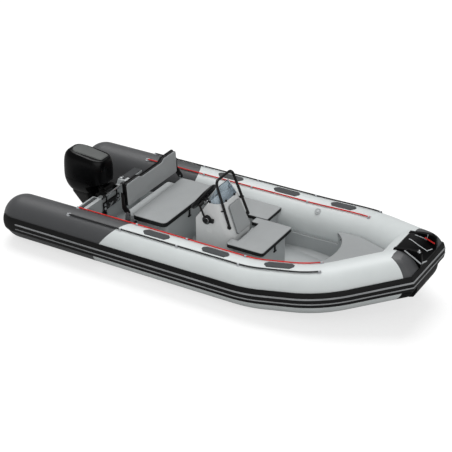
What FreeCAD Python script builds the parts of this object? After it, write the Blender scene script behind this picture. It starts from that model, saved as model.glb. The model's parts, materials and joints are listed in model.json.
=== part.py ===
import FreeCAD
import Part
import Sketcher
import math
import os
from FreeCAD import Placement, Rotation, Vector

# Rigid inflatable boat with a console and an outboard engine.
# Frame: +X to the bow, +Y to port, +Z up. The origin is on the waterline, on the
# centre line, at the aft face of the transom. Lengths in millimetres, angles in degrees.

SIZES = (
    # buoyancy tube
    ("tube_radius", 250, "radius of the tube"),
    ("tube_spread", 786, "centre line of the tube from the middle of the boat"),
    ("tube_height", 270, "centre line of the tube over the waterline, aft"),
    ("tube_aft", 544, "centre of the tube's round end behind the transom"),
    ("bend_one_x", 2386, "first bend of the tube"),
    ("bend_two_x", 3072, "second bend of the tube"),
    ("bend_two_y", 675, "second bend from the middle of the boat"),
    ("bend_two_z", 348, "second bend over the waterline"),
    ("corner_x", 3730, "mitred corner of the bow"),
    ("corner_y", 259, "mitred corner from the middle of the boat"),
    ("corner_z", 520, "mitred corner over the waterline"),
    ("bend_one_turn", 1500, "radius of the first bend"),
    ("bend_two_turn", 1200, "radius of the second bend"),
    ("seat_gap", 0.3, "gap between a curved seat and what lies on it"),
    ("stern_seam_x", 670, "seam between the dark and the light panels, on the centre line"),
    ("stern_seam_lean", 0.4, "how far the seam runs aft as it goes outboard"),
    ("stern_seam_rake", 0.5, "how far the seam runs forward as it goes up"),
    ("bow_seam_back", 80, "seam of the bow panel behind the mitred corner"),
    # rubbing strake and its stripes
    ("strake_thick", 14, "thickness of the rubbing strake"),
    ("strake_above", 19, "upper edge of the strake, degrees above the tube's side"),
    ("strake_below", 18, "lower edge of the strake, degrees below the tube's side"),
    ("strake_wrap", 38, "degrees that the strake wraps round the tube's end"),
    ("stripe_proud", 3, "height of a stripe over the strake"),
    ("upper_stripe_angle", 4.6, "upper stripe, degrees above the tube's side"),
    ("upper_stripe_wide", 18, "width of the upper stripe"),
    ("lower_stripe_angle", -7.9, "lower stripe, degrees above the tube's side"),
    ("lower_stripe_wide", 13, "width of the lower stripe"),
    # lifelines, clips, grip pads and valves
    ("rope_radius", 6, "radius of a lifeline"),
    ("rope_lift", 12, "centre of a lifeline over the tube's skin"),
    ("rope_angle", 20, "lifeline, degrees from the top of the tube"),
    ("inner_clip_aft_x", 900, "aft clip of the inner lifeline"),
    ("inner_clip_mid_x", 1530, "middle clip of the inner lifeline"),
    ("inner_clip_fore_x", 2240, "forward clip of the inner lifeline"),
    ("outer_clip_aft_x", 800, "aft clip of the outer lifeline"),
    ("outer_clip_mid_x", 1515, "middle clip of the outer lifeline"),
    ("outer_clip_fore_x", 2257, "forward clip of the outer lifeline"),
    ("rope_aft_x", 110, "aft end of the lifelines"),
    ("inner_rope_fore_x", 3060, "forward end of the inner lifelines"),
    ("outer_rope_fore_x", 3120, "forward end of the outer lifelines"),
    ("clip_radius", 10, "radius of a lifeline clip"),
    ("clip_long", 24, "length of a lifeline clip"),
    ("patch_radius", 24, "radius of a clip's patch"),
    ("patch_thick", 3, "thickness of a clip's patch"),
    ("pad_long", 320, "length of a grip pad"),
    ("pad_wide", 100, "width of a grip pad"),
    ("pad_thick", 6, "thickness of a grip pad"),
    ("pad_clip", 36, "cut corner of a grip pad"),
    ("pad_first_x", 1206, "middle of the aft grip pad"),
    ("pad_pitch", 727, "distance between grip pads"),
    ("valve_radius", 38, "radius of an inflation valve"),
    ("valve_proud", 8, "height of a valve over the tube"),
    ("valve_angle", 51, "valve, degrees above the tube's inner side"),
    ("port_valve_x", 2410, "port valve"),
    ("starboard_valve_x", 2920, "starboard valve"),
    # hull, floor and side decks
    ("keel_depth", 160, "keel under the waterline, aft"),
    ("chine_half", 560, "chine from the middle of the boat, aft"),
    ("chine_depth", 10, "chine under the waterline, aft"),
    ("entry_x", 2000, "where the bottom begins to rise to the bow"),
    ("stem_x", 3700, "forward end of the keel"),
    ("stem_height", 262, "keel over the waterline at the stem"),
    ("stem_chine_half", 80, "chine from the middle at the stem"),
    ("stem_chine_height", 320, "chine over the waterline at the stem"),
    ("floor_height", 10, "top of the floor over the waterline"),
    ("floor_thick", 20, "thickness of the floor"),
    ("wall_half", 510, "inner wall from the middle of the boat"),
    ("ledge_drop", 80, "side ledge under the tube's centre line"),
    ("crease_start_x", 1922, "where the floor's sloped edge begins"),
    ("crease_inset", 80, "width of the floor's sloped edge at the bow locker"),
    ("crease_rise", 40, "height of the floor's sloped edge at the bow locker"),
    ("wing_x", 2750, "aft tips of the bow locker"),
    ("locker_x", 2950, "aft face of the bow locker in the middle"),
    ("deck_aft_z", 330, "fore deck over the waterline at its aft tips"),
    ("deck_fore_x", 3580, "forward edge of the fore deck"),
    ("deck_fore_z", 500, "fore deck over the waterline at its forward edge"),
    ("bow_cushion_thick", 50, "thickness of the bow cushion"),
    ("bow_cushion_gap", 4, "gap between the bow cushion and the tubes"),
    ("bow_cushion_lip", 12, "bow cushion over the locker's aft edge"),
    # transom
    ("transom_thick", 60, "thickness of the transom in the engine's notch"),
    ("shoulder_deep", 120, "depth of the transom's shoulders"),
    ("shoulder_top", 420, "top of the shoulders"),
    ("notch_top", 370, "top of the engine's notch"),
    ("notch_half", 250, "half width of the notch"),
    ("strip_wide", 44, "width of an anti-slip strip"),
    ("strip_thick", 5, "thickness of an anti-slip strip"),
    ("mount_pad_half", 165, "half width of the engine's mounting pad"),
    ("mount_pad_high", 190, "height of the mounting pad"),
    ("mount_pad_thick", 16, "thickness of the mounting pad"),
    ("eye_half", 420, "stern towing eye from the middle"),
    ("eye_height", 150, "stern towing eye over the waterline"),
    ("eye_bore", 11, "radius of a towing eye's hole"),
    ("eye_thick", 12, "thickness of a towing eye"),
    ("eye_reach", 46, "towing eye's hole from its base"),
    # bow step
    ("step_half", 212, "half width of the bow step"),
    ("step_aft_x", 3610, "aft edge of the bow step"),
    ("step_fore_x", 3972, "front flange of the bow step"),
    ("step_low_z", 642, "lower edge of the bow step's front"),
    ("step_tread_z", 712, "tread of the bow step"),
    ("cheek_top_z", 812, "top of the bow step's cheeks"),
    ("cheek_thick", 38, "thickness of a cheek"),
    ("strap_radius", 7, "radius of a bow grab strap"),
    ("strap_long", 118, "length of a bow grab strap"),
    # driver's bench
    ("bench_aft_x", 520, "aft face of the driver's bench"),
    ("bench_fore_x", 1130, "front face of the driver's bench"),
    ("bench_half", 450, "half width of the driver's bench"),
    ("bench_top", 444, "top of the driver's bench"),
    ("bench_toe", 40, "how far the bench's front leans in at the floor"),
    ("bench_cushion_aft_x", 706, "rear edge of the bench cushion"),
    ("bench_cushion_fore_x", 1142, "front edge of the bench cushion"),
    ("bench_side_gap", 16, "gap between the bench cushion and the tube"),
    ("cushion_corner", 60, "corner radius of a cushion in plan"),
    ("bench_cushion_thick", 60, "thickness of the bench cushion"),
    ("lid_gap", 0.3, "gap under a lid"),
    # backrest
    ("pivot_x", 680, "backrest pivot"),
    ("pivot_z", 515, "backrest pivot over the waterline"),
    ("backrest_half", 500, "half width of the backrest pad"),
    ("backrest_low", 572, "lower edge of the backrest pad"),
    ("backrest_top", 842, "top edge of the backrest pad"),
    ("backrest_face_x", 664, "front of the backrest pad at its lower edge"),
    ("backrest_lean", 3, "degrees that the backrest leans aft"),
    ("backrest_thick", 44, "thickness of the backrest pad"),
    ("backrest_shell", 14, "thickness of the backrest's shell"),
    ("backrest_notch", 30, "depth of the notch in the top edge"),
    ("backrest_notch_half", 200, "half width of the notch"),
    ("arm_gap", 8, "gap between the bench cushion and a backrest arm"),
    ("arm_thick", 14, "thickness of a backrest arm"),
    ("arm_wide", 44, "width of a backrest arm"),
    ("bracket_thick", 8, "thickness of a pivot bracket"),
    ("pivot_radius", 8, "radius of the backrest's pivot pin"),
    ("pivot_fit", 0.05, "radial running fit of the pivots"),
    # console
    ("console_y", -100, "middle of the console"),
    ("console_half", 215, "half width of the console"),
    ("console_aft_x", 1400, "aft face of the console"),
    ("console_foot_x", 1860, "front of the console at the floor"),
    ("console_seat_x", 1875, "front of the console at the front seat"),
    ("console_seat_z", 425, "height of the front seat at the console"),
    ("dash_low_z", 560, "lower edge of the sloped dash"),
    ("console_top_long", 160, "length of the console's top"),
    ("console_top_x", 1720, "front edge of the console's top"),
    ("console_top", 780, "top of the console"),
    ("console_round", 110, "front corner radius at the top"),
    ("console_foot_round", 80, "front corner radius at the floor"),
    ("console_edge", 14, "aft corner radius of the console"),
    ("dash_thick", 8, "thickness of the instrument panel"),
    ("dash_margin", 30, "console left round the instrument panel"),
    ("screen_thick", 5, "thickness of the windscreen"),
    ("screen_high", 180, "height of the windscreen"),
    ("screen_inset", 8, "windscreen inside the console's edge"),
    ("screen_lean_x", 100, "how far the front of the windscreen leans aft"),
    ("screen_lean_y", 75, "how far the sides of the windscreen lean in"),
    ("rail_radius", 14, "radius of the console rail"),
    ("rail_foot_x", 1820, "feet of the rail"),
    ("rail_foot_z", 540, "feet of the rail over the waterline"),
    ("rail_foot_half", 200, "rail's foot from the console's middle"),
    ("rail_top_x", 1630, "top of the rail"),
    ("rail_top_z", 1030, "top of the rail over the waterline"),
    ("rail_top_half", 170, "rail's corner from the console's middle"),
    ("rail_turn", 62, "radius of the rail's bends"),
    ("rail_stub_z", 730, "height of the rail's side stays"),
    ("console_pad_low_z", 436, "lower edge of the console's back pad"),
    ("console_pad_top_z", 738, "upper edge of the back pad"),
    ("console_pad_low_half", 140, "half width of the back pad, low"),
    ("console_pad_top_half", 110, "half width of the back pad, high"),
    ("console_pad_thick", 26, "thickness of the back pad"),
    # steering wheel and throttle
    ("wheel_x", 1380, "middle of the steering wheel"),
    ("wheel_z", 710, "middle of the steering wheel over the waterline"),
    ("wheel_radius", 152, "steering wheel's rim line"),
    ("rim_radius", 14, "radius of the rim"),
    ("wheel_hub", 34, "radius of the wheel's hub"),
    ("wheel_hub_high", 30, "height of the wheel's hub"),
    ("spoke_radius", 8, "radius of a spoke"),
    ("column_radius", 26, "radius of the steering column"),
    ("wheel_gap", 1, "gap between the wheel's hub and the column"),
    ("throttle_x", 1557, "hub of the throttle"),
    ("throttle_z", 583, "hub of the throttle over the waterline"),
    ("throttle_radius", 46, "radius of the throttle's housing"),
    ("throttle_deep", 34, "depth of the throttle's housing"),
    ("lever_long", 184, "length of the throttle lever"),
    ("lever_tilt", 25, "degrees that the lever leans aft"),
    # front seat and side seat
    ("front_aft_x", 1876, "aft end of the front seat's base"),
    ("front_neck", 114, "length of the narrow end of the front seat's base"),
    ("front_fore_x", 2260, "front of the front seat's base"),
    ("front_lid_ledge", 40, "front seat's lid, past its cushion on the starboard side"),
    ("front_low_y", -364, "starboard side of the front seat's base"),
    ("front_high_y", 164, "port side of the front seat's base"),
    ("front_top", 370, "top of the front seat's base"),
    ("front_cushion_aft_x", 1940, "front cushion's edge at the console"),
    ("front_wing_x", 1850, "front cushion's wings beside the console"),
    ("front_cushion_fore_x", 2300, "front edge of the front cushion"),
    ("front_cushion_low_y", -440, "starboard edge of the front cushion"),
    ("front_cushion_high_y", 235, "port edge of the front cushion"),
    ("front_cushion_top", 430, "top of the front cushion"),
    ("front_cushion_thick", 50, "thickness of the front cushion"),
    ("front_hinge_x", 1945, "hinge of the front seat's lid"),
    ("lid_board", 9, "thickness of the lid under the front cushion"),
    ("console_clear", 8, "gap between the cushion's wings and the console"),
    ("side_aft_x", 1400, "aft edge of the side seat"),
    ("side_fore_x", 1980, "front edge of the side seat"),
    ("side_low_y", 245, "inner edge of the side seat"),
    ("side_high_y", 585, "outer edge of the side seat"),
    ("side_inset", 24, "side seat's base inside its cushion"),
    ("side_cushion_thick", 46, "thickness of the side cushion"),
    # outboard engine
    ("steer_x", -100, "steering axis of the engine"),
    ("tilt_x", 30, "tilt axis of the engine"),
    ("tilt_z", 415, "tilt axis over the waterline"),
    ("tilt_tube", 16, "radius of the tilt tube"),
    ("clamp_half", 110, "outer face of a clamp bracket"),
    ("clamp_thick", 16, "thickness of a clamp bracket"),
    ("clamp_low", 190, "lower end of the clamp brackets"),
    ("clamp_gap", 3, "gap between clamp and swivel brackets"),
    ("swivel_low", 150, "lower end of the swivel bracket"),
    ("swivel_radius", 36, "radius of the swivel bracket's barrel"),
    ("cylinder_x", 110, "steering cylinder"),
    ("cylinder_z", 412, "steering cylinder over the waterline"),
    ("cylinder_radius", 12, "radius of the steering cylinder"),
    ("cylinder_half", 190, "half length of the steering cylinder"),
    ("leg_fore_x", -146, "leading edge of the engine's leg"),
    ("leg_aft_x", -300, "trailing edge of the leg"),
    ("leg_half", 42, "half width of the leg"),
    ("cowl_aft_x", -512, "aft end of the cowl"),
    ("cowl_fore_x", 60, "front of the cowl"),
    ("cowl_half", 175, "half width of the cowl"),
    ("cowl_low", 345, "lower edge of the cowl's tray"),
    ("cowl_top", 844, "top edge of the cowl"),
    ("cowl_wall", 6, "wall of the cowl"),
    ("deck_aft_in", 130, "hole in the cowl's floor, in from its aft end"),
    ("deck_fore_in", 180, "hole in the cowl's floor, in from its forward end"),
    ("deck_side_in", 90, "hole in the cowl's floor, in from its sides"),
    ("deck_lip_aft", 50, "leg's flange, past the hole's aft end"),
    ("deck_lip_side", 32, "leg's flange, past the hole's sides"),
    ("deck_lip_deep", 30, "depth of the leg's flange"),
    ("deck_round", 60, "corners of the leg's flange"),
    ("cap_thick", 12, "height of the cowl's top panel"),
    ("cap_back", 100, "top panel forward of the cowl's aft end"),
    ("cap_front", 44, "top panel behind the cowl's front"),
    ("cap_half", 104, "half width of the top panel"),
    ("powerhead_long", 290, "length of the engine block"),
    ("powerhead_wide", 206, "width of the engine block"),
    ("powerhead_high", 330, "height of the engine block"),
    ("plate_z", -160, "anti-ventilation plate"),
    ("plate_half", 105, "half width of the anti-ventilation plate"),
    ("plate_thick", 10, "thickness of the anti-ventilation plate"),
    ("shaft_z", -335, "propeller shaft"),
    ("torpedo_radius", 50, "radius of the gear case's torpedo"),
    ("torpedo_fore_x", 30, "nose of the torpedo"),
    ("torpedo_aft_x", -330, "aft end of the torpedo"),
    ("skeg_z", -490, "tip of the skeg"),
    ("propeller_radius", 150, "radius of the propeller"),
    ("propeller_hub", 44, "radius of the propeller's hub"),
    ("propeller_long", 96, "length of the propeller's hub"),
    ("propeller_gap", 1, "gap between the torpedo and the propeller"),
    ("blade_thick", 8, "thickness of a blade at the hub"),
    ("shaft_radius", 12, "radius of the propeller shaft"),
    ("chin_back", 8, "start of the room under the cowl, forward of the steering axis"),
    ("swing_back", 22, "start of that room when the engine is steered"),
    ("steer_swing", 30, "degrees that the engine steers each way"),
    ("chin_aft_z", 444, "underside of the cowl over the swivel bracket"),
    ("chin_fore_z", 516, "underside of the cowl at its front"),
)

MIDDLE = Vector(0, 0, 0)
X_AXIS = Vector(1, 0, 0)
Y_AXIS = Vector(0, 1, 0)
Z_AXIS = Vector(0, 0, 1)
FAR = 9000

doc = FreeCAD.newDocument("inflatable_boat")
sheet = doc.addObject("Spreadsheet::Sheet", "Sizes")
for row, (alias, value, meaning) in enumerate(SIZES, start=1):
    sheet.set("A%d" % row, str(value))
    sheet.setAlias("A%d" % row, alias)
    sheet.set("B%d" % row, meaning)
doc.recompute()

SUBPARTS = []


def size(alias):
    """The value of a cell."""
    return float(sheet.get(alias))


def keep(label, thing):
    """Label an object as a sub-part, so that its shape is written to a file."""
    thing.Label = label
    SUBPARTS.append(thing)
    return thing


def feature(label, shape):
    """A sub-part whose shape is worked out below from the cells."""
    thing = doc.addObject("Part::Feature", label)
    thing.Shape = shape
    return keep(label, thing)


# Shapes on free planes

def half_space(point, normal):
    """Everything on the side of a plane that its normal points to."""
    block = Part.makeBox(2 * FAR, 2 * FAR, FAR, Vector(-FAR, -FAR, 0))
    block.Placement = Placement(point, Rotation(Z_AXIS, normal))
    return block


def slab_between(low, high):
    """Everything between two heights."""
    return Part.makeBox(2 * FAR, 2 * FAR, high - low, Vector(-FAR, -FAR, low))


def block(low, high):
    """A box between two corners."""
    return Part.makeBox(high.x - low.x, high.y - low.y, high.z - low.z, low)


def prism(points, along):
    """A polygon extruded along a vector."""
    wire = Part.makePolygon(list(points) + [points[0]])
    return Part.Face(wire).extrude(along)


def ruled_solid(wires):
    """A solid with flat or ruled faces through closed wires."""
    return Part.makeLoft(list(wires), True, True)


def both_sides(shape):
    """A shape and its mirror image on the other side of the boat."""
    return Part.makeCompound([shape, mirrored(shape)])


def mirrored(shape):
    """The mirror image of a shape on the other side of the boat."""
    return shape.mirror(MIDDLE, Y_AXIS)


def rod(start, end, radius):
    """A round bar between two points."""
    return Part.makeCylinder(radius, (end - start).Length, start, end - start)


def fuse_all(shapes):
    """One solid of several shapes that overlap or touch."""
    return shapes[0].multiFuse(list(shapes[1:])).removeSplitter()


def rounded_path(points, turns):
    """Straight runs between points, each inner point rounded by an arc of its radius."""
    edges = []
    start = points[0]
    for before, point, after, turn in zip(points, points[1:], points[2:], turns):
        into = (point - before).normalize()
        out = (after - point).normalize()
        half_turn = into.getAngle(out) / 2
        reach = turn * math.tan(half_turn)
        first = point - into * reach
        last = point + out * reach
        inward = (out - into).normalize()
        centre = point + inward * (turn / math.cos(half_turn))
        middle = centre + (point - centre).normalize() * turn
        edges.append(Part.LineSegment(start, first).toShape())
        edges.append(Part.Arc(first, middle, last).toShape())
        start = last
    edges.append(Part.LineSegment(start, points[-1]).toShape())
    return Part.Wire(edges)


def swept_solid(path, guide, profile):
    """A closed profile swept along a path, kept upright by a guide above the path."""
    shell = Part.BRepOffsetAPI.MakePipeShell(path)
    shell.setAuxiliarySpine(guide, False, 0)
    shell.add(profile)
    shell.build()
    shell.makeSolid()
    return shell.shape()


# Buoyancy tube: a starboard run with two rounded bends, a mitred corner and a straight
# cross tube at the bow, then the mirror image to port

RADIUS = size("tube_radius")
AFT_END = Vector(-size("tube_aft"), -size("tube_spread"), size("tube_height"))
BEND_ONE = Vector(size("bend_one_x"), -size("tube_spread"), size("tube_height"))
BEND_TWO = Vector(size("bend_two_x"), -size("bend_two_y"), size("bend_two_z"))
CORNER = Vector(size("corner_x"), -size("corner_y"), size("corner_z"))
LAST_RUN = (CORNER - BEND_TWO).normalize()
MITRE = (LAST_RUN + Y_AXIS).normalize()
SEAT = size("seat_gap")


def outward(direction):
    """The level direction that points away from the boat, beside a starboard run."""
    return direction.cross(Z_AXIS).normalize()


def run_points(angle, radius, past_corner=0.0):
    """The run's corners moved to an angle above the tube's outer side, at a radius."""
    along = [X_AXIS, (BEND_TWO - BEND_ONE).normalize(), LAST_RUN]
    points = [AFT_END, BEND_ONE, BEND_TWO, CORNER + LAST_RUN * past_corner]
    joints = [along[0], along[0] + along[1], along[1] + along[2], along[2]]
    shift = []
    for joint in joints:
        side = outward(joint)
        up = side.cross(joint).normalize()
        turn = math.radians(angle)
        shift.append(side * (radius * math.cos(turn)) + up * (radius * math.sin(turn)))
    return [point + move for point, move in zip(points, shift)]


def run_path(angle=0.0, radius=0.0, past_corner=0.0):
    """The starboard run as a path of straight runs and arcs."""
    turns = (size("bend_one_turn"), size("bend_two_turn"))
    return rounded_path(run_points(angle, radius, past_corner), turns)


def tube_run(radius):
    """The starboard run of the tube as a solid, up to the mitred corner."""
    circle = Part.Circle(AFT_END, X_AXIS, radius).toShape()
    run = run_path(past_corner=2 * RADIUS).makePipe(Part.Face(Part.Wire([circle])))
    run = run.cut(half_space(CORNER, MITRE))
    return run.fuse(Part.makeSphere(radius, AFT_END)).removeSplitter()


def cross_tube(radius):
    """The straight tube across the bow, between its two mitres."""
    start = CORNER - Y_AXIS * (2 * RADIUS)
    whole = Part.makeCylinder(radius, 2 * (size("corner_y") + 2 * RADIUS), start, Y_AXIS)
    other = Vector(MITRE.x, -MITRE.y, MITRE.z)
    port_corner = Vector(CORNER.x, -CORNER.y, CORNER.z)
    return whole.common(half_space(CORNER, MITRE)).common(half_space(port_corner, other))


def station(line, x):
    """The point of a fine chain of points at a distance along the boat."""
    for first, last in zip(line, line[1:]):
        if x <= last.x:
            return first + (last - first) * ((x - first.x) / (last.x - first.x))
    return line[-1]


TUBE_LINE = run_path().discretize(600)
FIRST_TURN = X_AXIS.getAngle(BEND_TWO - BEND_ONE) / 2
BEND_REACH = size("bend_one_turn") * math.tan(FIRST_TURN)


def section_at(x):
    """Centre of the starboard tube at a distance along the boat."""
    return station(TUBE_LINE, x)


STARBOARD_TUBE = tube_run(RADIUS)
CROSS_TUBE = cross_tube(RADIUS)
SEATING = [tube_run(RADIUS + SEAT), cross_tube(RADIUS + SEAT)]
SEATING.insert(1, mirrored(SEATING[0]))


def clear_of_tubes(shape):
    """A shape with the room of the tubes cut away."""
    return shape.cut(SEATING)


def build_tubes():
    """The five panels of the tube, split at their seams."""
    stern_seam = Vector(size("stern_seam_x"), AFT_END.y, AFT_END.z)
    rake = Vector(1, -size("stern_seam_lean"), -size("stern_seam_rake")).normalize()
    ahead = half_space(stern_seam, rake)
    bow_seam = CORNER - LAST_RUN * size("bow_seam_back")
    bow = half_space(bow_seam, LAST_RUN)
    stern_panel = STARBOARD_TUBE.cut(ahead)
    side_panel = STARBOARD_TUBE.common(ahead).cut(bow)
    corner_panel = STARBOARD_TUBE.common(bow)
    feature("tube_aft_starboard", stern_panel)
    feature("tube_aft_port", mirrored(stern_panel))
    feature("tube_side_starboard", side_panel)
    feature("tube_side_port", mirrored(side_panel))
    feature("tube_bow", fuse_all([corner_panel, CROSS_TUBE, mirrored(corner_panel)]))


def band_profile(centre, side, up, inner, outer, low, high):
    """A closed piece of a ring, between two radii and two angles above the side."""
    def at(radius, angle):
        turn = math.radians(angle)
        return centre + side * (radius * math.cos(turn)) + up * (radius * math.sin(turn))
    middle = (low + high) / 2
    edges = [
        Part.Arc(at(outer, low), at(outer, middle), at(outer, high)).toShape(),
        Part.LineSegment(at(outer, high), at(inner, high)).toShape(),
        Part.Arc(at(inner, high), at(inner, middle), at(inner, low)).toShape(),
        Part.LineSegment(at(inner, low), at(outer, low)).toShape(),
    ]
    return Part.Wire(edges)


def band(inner, outer, low, high, wrap):
    """A band on the outer side of the tube: round its end, along it and across the bow."""
    overrun = 2 * RADIUS
    profile = band_profile(AFT_END, outward(X_AXIS), Z_AXIS, inner, outer, low, high)
    guide = run_path(past_corner=overrun)
    guide.translate(Z_AXIS * RADIUS)
    run = swept_solid(run_path(past_corner=overrun), guide, profile)
    run = run.cut(half_space(CORNER, MITRE))
    end = Part.Face(profile).revolve(AFT_END, Z_AXIS, -wrap)
    tilt = -math.degrees(math.asin(reflected(outward(LAST_RUN)).z))
    across = band_profile(CORNER - Y_AXIS * overrun, X_AXIS, Z_AXIS, inner, outer, low - tilt, high - tilt)
    bow = Part.Face(across).extrude(Y_AXIS * (2 * (size("corner_y") + overrun)))
    bow = bow.common(half_space(CORNER, MITRE))
    bow = bow.common(half_space(Vector(CORNER.x, -CORNER.y, CORNER.z), Vector(MITRE.x, -MITRE.y, MITRE.z)))
    side = run.fuse(end)
    return fuse_all([side, bow, mirrored(side)])


def reflected(direction):
    """A direction seen in the mitre plane of the bow corner."""
    return direction - MITRE * (2 * direction.dot(MITRE))


def build_strake():
    """The rubbing strake and the two stripes that stand out of it."""
    inner = RADIUS + SEAT
    outer = RADIUS + size("strake_thick")
    wrap = size("strake_wrap")
    feature("rubbing_strake", band(inner, outer, -size("strake_below"), size("strake_above"), wrap))
    stripes = []
    for name in ("upper", "lower"):
        middle = size(name + "_stripe_angle")
        half = math.degrees(size(name + "_stripe_wide") / 2 / outer)
        top = outer + size("stripe_proud")
        stripes.append(band(outer, top, middle - half, middle + half, wrap * 0.8))
    feature("strake_stripes", Part.makeCompound(stripes))


# Lifelines, their clips, the grip pads and the valves

def build_lifelines():
    """Four taut ropes along the tubes, and a clip on a patch at each of their stations."""
    reach = RADIUS + size("rope_lift")
    rope = size("rope_radius")
    aft = size("rope_aft_x")
    half = size("clip_long") / 2
    lines = (
        ("inner", 90 + size("rope_angle"), size("inner_rope_fore_x")),
        ("outer", 90 - size("rope_angle"), size("outer_rope_fore_x")),
    )
    clips = []
    for row, angle, fore in lines:
        label = f"lifeline_{row}"
        stations = [size(f"{row}_clip_{place}_x") for place in ("aft", "mid", "fore")]
        path = run_path(angle, reach)
        start = path.Vertexes[0].Point
        circle = Part.Wire([Part.Circle(start, X_AXIS, rope).toShape()])
        line = path.makePipe(Part.Face(circle))
        chain = path.discretize(600)
        ends = [station(chain, x) for x in (aft, fore)]
        ahead = (station(chain, fore) - station(chain, fore - 1)).normalize()
        line = line.common(half_space(ends[0], X_AXIS)).cut(half_space(ends[1], ahead))
        feature(label, both_sides(line))
        for x in (aft + half, *stations, fore - half):
            along = station(chain, x + 1) - station(chain, x)
            clips.append(clip_at(station(chain, x), section_at(x), along))
    feature("lifeline_clips", both_sides(Part.makeCompound(clips)))


def clip_at(point, centre, along):
    """A ring round the rope, standing on a round patch on the tube."""
    along = Vector(along).normalize()
    out = point - centre
    out = (out - along * out.dot(along)).normalize()
    long = size("clip_long")
    ring = Part.makeCylinder(size("clip_radius"), long, point - along * (long / 2), along)
    foot = point - out * (size("rope_lift") + 2 * size("patch_thick"))
    patch = Part.makeCylinder(size("patch_radius"), size("patch_thick") * 3, foot, out)
    hole = Part.makeCylinder(size("rope_radius") + SEAT, 4 * long, point - along * (2 * long), along)
    return ring.fuse(patch).cut(hole).cut(SEATING[0])


def build_grip_pads():
    """Three eight-sided grip pads on top of each tube."""
    pads = []
    for number in range(3):
        middle = section_at(size("pad_first_x") + number * size("pad_pitch"))
        ahead = (section_at(middle.x + 1) - section_at(middle.x - 1)).normalize()
        half_long = size("pad_long") / 2
        half_wide = size("pad_wide") / 2
        cut = size("pad_clip")
        corners = [
            (half_long, half_wide - cut), (half_long - cut, half_wide),
            (cut - half_long, half_wide), (-half_long, half_wide - cut),
            (-half_long, cut - half_wide), (cut - half_long, -half_wide),
            (half_long - cut, -half_wide), (half_long, cut - half_wide),
        ]
        level = Vector(ahead.x, ahead.y, 0).normalize()
        side = outward(ahead)
        outline = [middle + level * a + side * b for a, b in corners]
        stamp = prism(outline, Z_AXIS * (2 * RADIUS))
        start = middle - ahead * (2 * half_long)
        outer = Part.makeCylinder(RADIUS + size("pad_thick"), 4 * half_long, start, ahead)
        pads.append(outer.common(stamp).cut(SEATING[0]))
    feature("tube_grip_pads", both_sides(Part.makeCompound(pads)))


def build_valves():
    """One inflation valve on the inner side of each tube."""
    valves = []
    for side, station in ((1, "port_valve_x"), (-1, "starboard_valve_x")):
        centre = section_at(size(station))
        turn = math.radians(size("valve_angle"))
        inward = Vector(0, math.cos(turn), math.sin(turn))
        top = centre + inward * (RADIUS + size("valve_proud"))
        body = Part.makeCylinder(size("valve_radius"), RADIUS / 4, top - inward * (RADIUS / 4), inward)
        body = body.cut(SEATING[0])
        valves.append(body if side < 0 else mirrored(body))
    feature("inflation_valves", Part.makeCompound(valves))


# Hull, floor, side decks and fore deck: one block of the hull's outer form, split by the
# floor, the inner walls and the bow locker

def entry(x):
    """Share of the way from where the bottom starts to rise to the stem."""
    return max(0.0, (x - size("entry_x")) / (size("stem_x") - size("entry_x")))


def keel_z(x):
    """Keel line over the waterline."""
    low = -size("keel_depth")
    return low + (size("stem_height") - low) * entry(x) ** 3.6


def chine_y(x):
    """Chine from the middle of the boat."""
    wide = size("chine_half")
    return wide - (wide - size("stem_chine_half")) * entry(x) ** 2.17


def chine_z(x):
    """Chine over the waterline."""
    low = -size("chine_depth")
    return low + (size("stem_chine_height") - low) * entry(x) ** 2.3


def hull_section(x):
    """Closed outline of the hull at a station, its upper part inside the tubes."""
    tube = section_at(x)
    side = -tube.y
    half = [
        (chine_y(x), chine_z(x)),
        (side - 0.48 * RADIUS, tube.z - 0.8 * RADIUS),
        (side, tube.z),
        (side - 0.2 * RADIUS, tube.z + 0.2 * RADIUS),
    ]
    points = [Vector(x, 0, keel_z(x))]
    points += [Vector(x, y, z) for y, z in half]
    points += [Vector(x, -y, z) for y, z in reversed(half)]
    return Part.makePolygon(points + [points[0]])


def hull_block():
    """The hull's outer form with the room of the tubes cut away."""
    entry_x = size("entry_x")
    reach = size("stem_x") - entry_x
    shares = (0.0, 0.2, 0.36, 0.5, 0.63, 0.76, 0.88, 1.0)
    stations = [0.0] + [entry_x + reach * share for share in shares]
    return clear_of_tubes(ruled_solid([hull_section(x) for x in stations]))


def wall_y(x):
    """Inner wall from the middle of the boat: it runs beside the tube."""
    return -section_at(x).y - (size("tube_spread") - size("wall_half"))


def cockpit(low, high, aft_x):
    """The room between the inner walls, from a station to the bow locker's curved face."""
    wing = size("wing_x")
    bend = size("bend_one_x")
    locker = size("locker_x")
    stations = (wing, bend + BEND_REACH, bend, bend - BEND_REACH, aft_x)
    corners = [(x, wall_y(x)) for x in stations if x >= aft_x]
    port = [Vector(x, y, low) for x, y in corners]
    starboard = [Vector(x, -y, low) for x, y in reversed(corners)]
    line = port + starboard
    edges = [Part.LineSegment(a, b).toShape() for a, b in zip(line, line[1:])]
    edges.append(Part.Arc(line[-1], Vector(locker, 0, low), line[0]).toShape())
    return Part.Face(Part.Wire(edges)).extrude(Z_AXIS * (high - low))


def floor_wedge():
    """Three points of the floor's sloped edge to starboard, which widens toward the bow."""
    start_x = size("crease_start_x")
    end_x = size("wing_x") + 60
    floor = size("floor_height")
    wall = wall_y(end_x)
    start = Vector(start_x, -wall_y(start_x), floor)
    inner = Vector(end_x, size("crease_inset") - wall, floor)
    upper = Vector(end_x, -wall, floor + size("crease_rise"))
    return start, inner, upper


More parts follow.
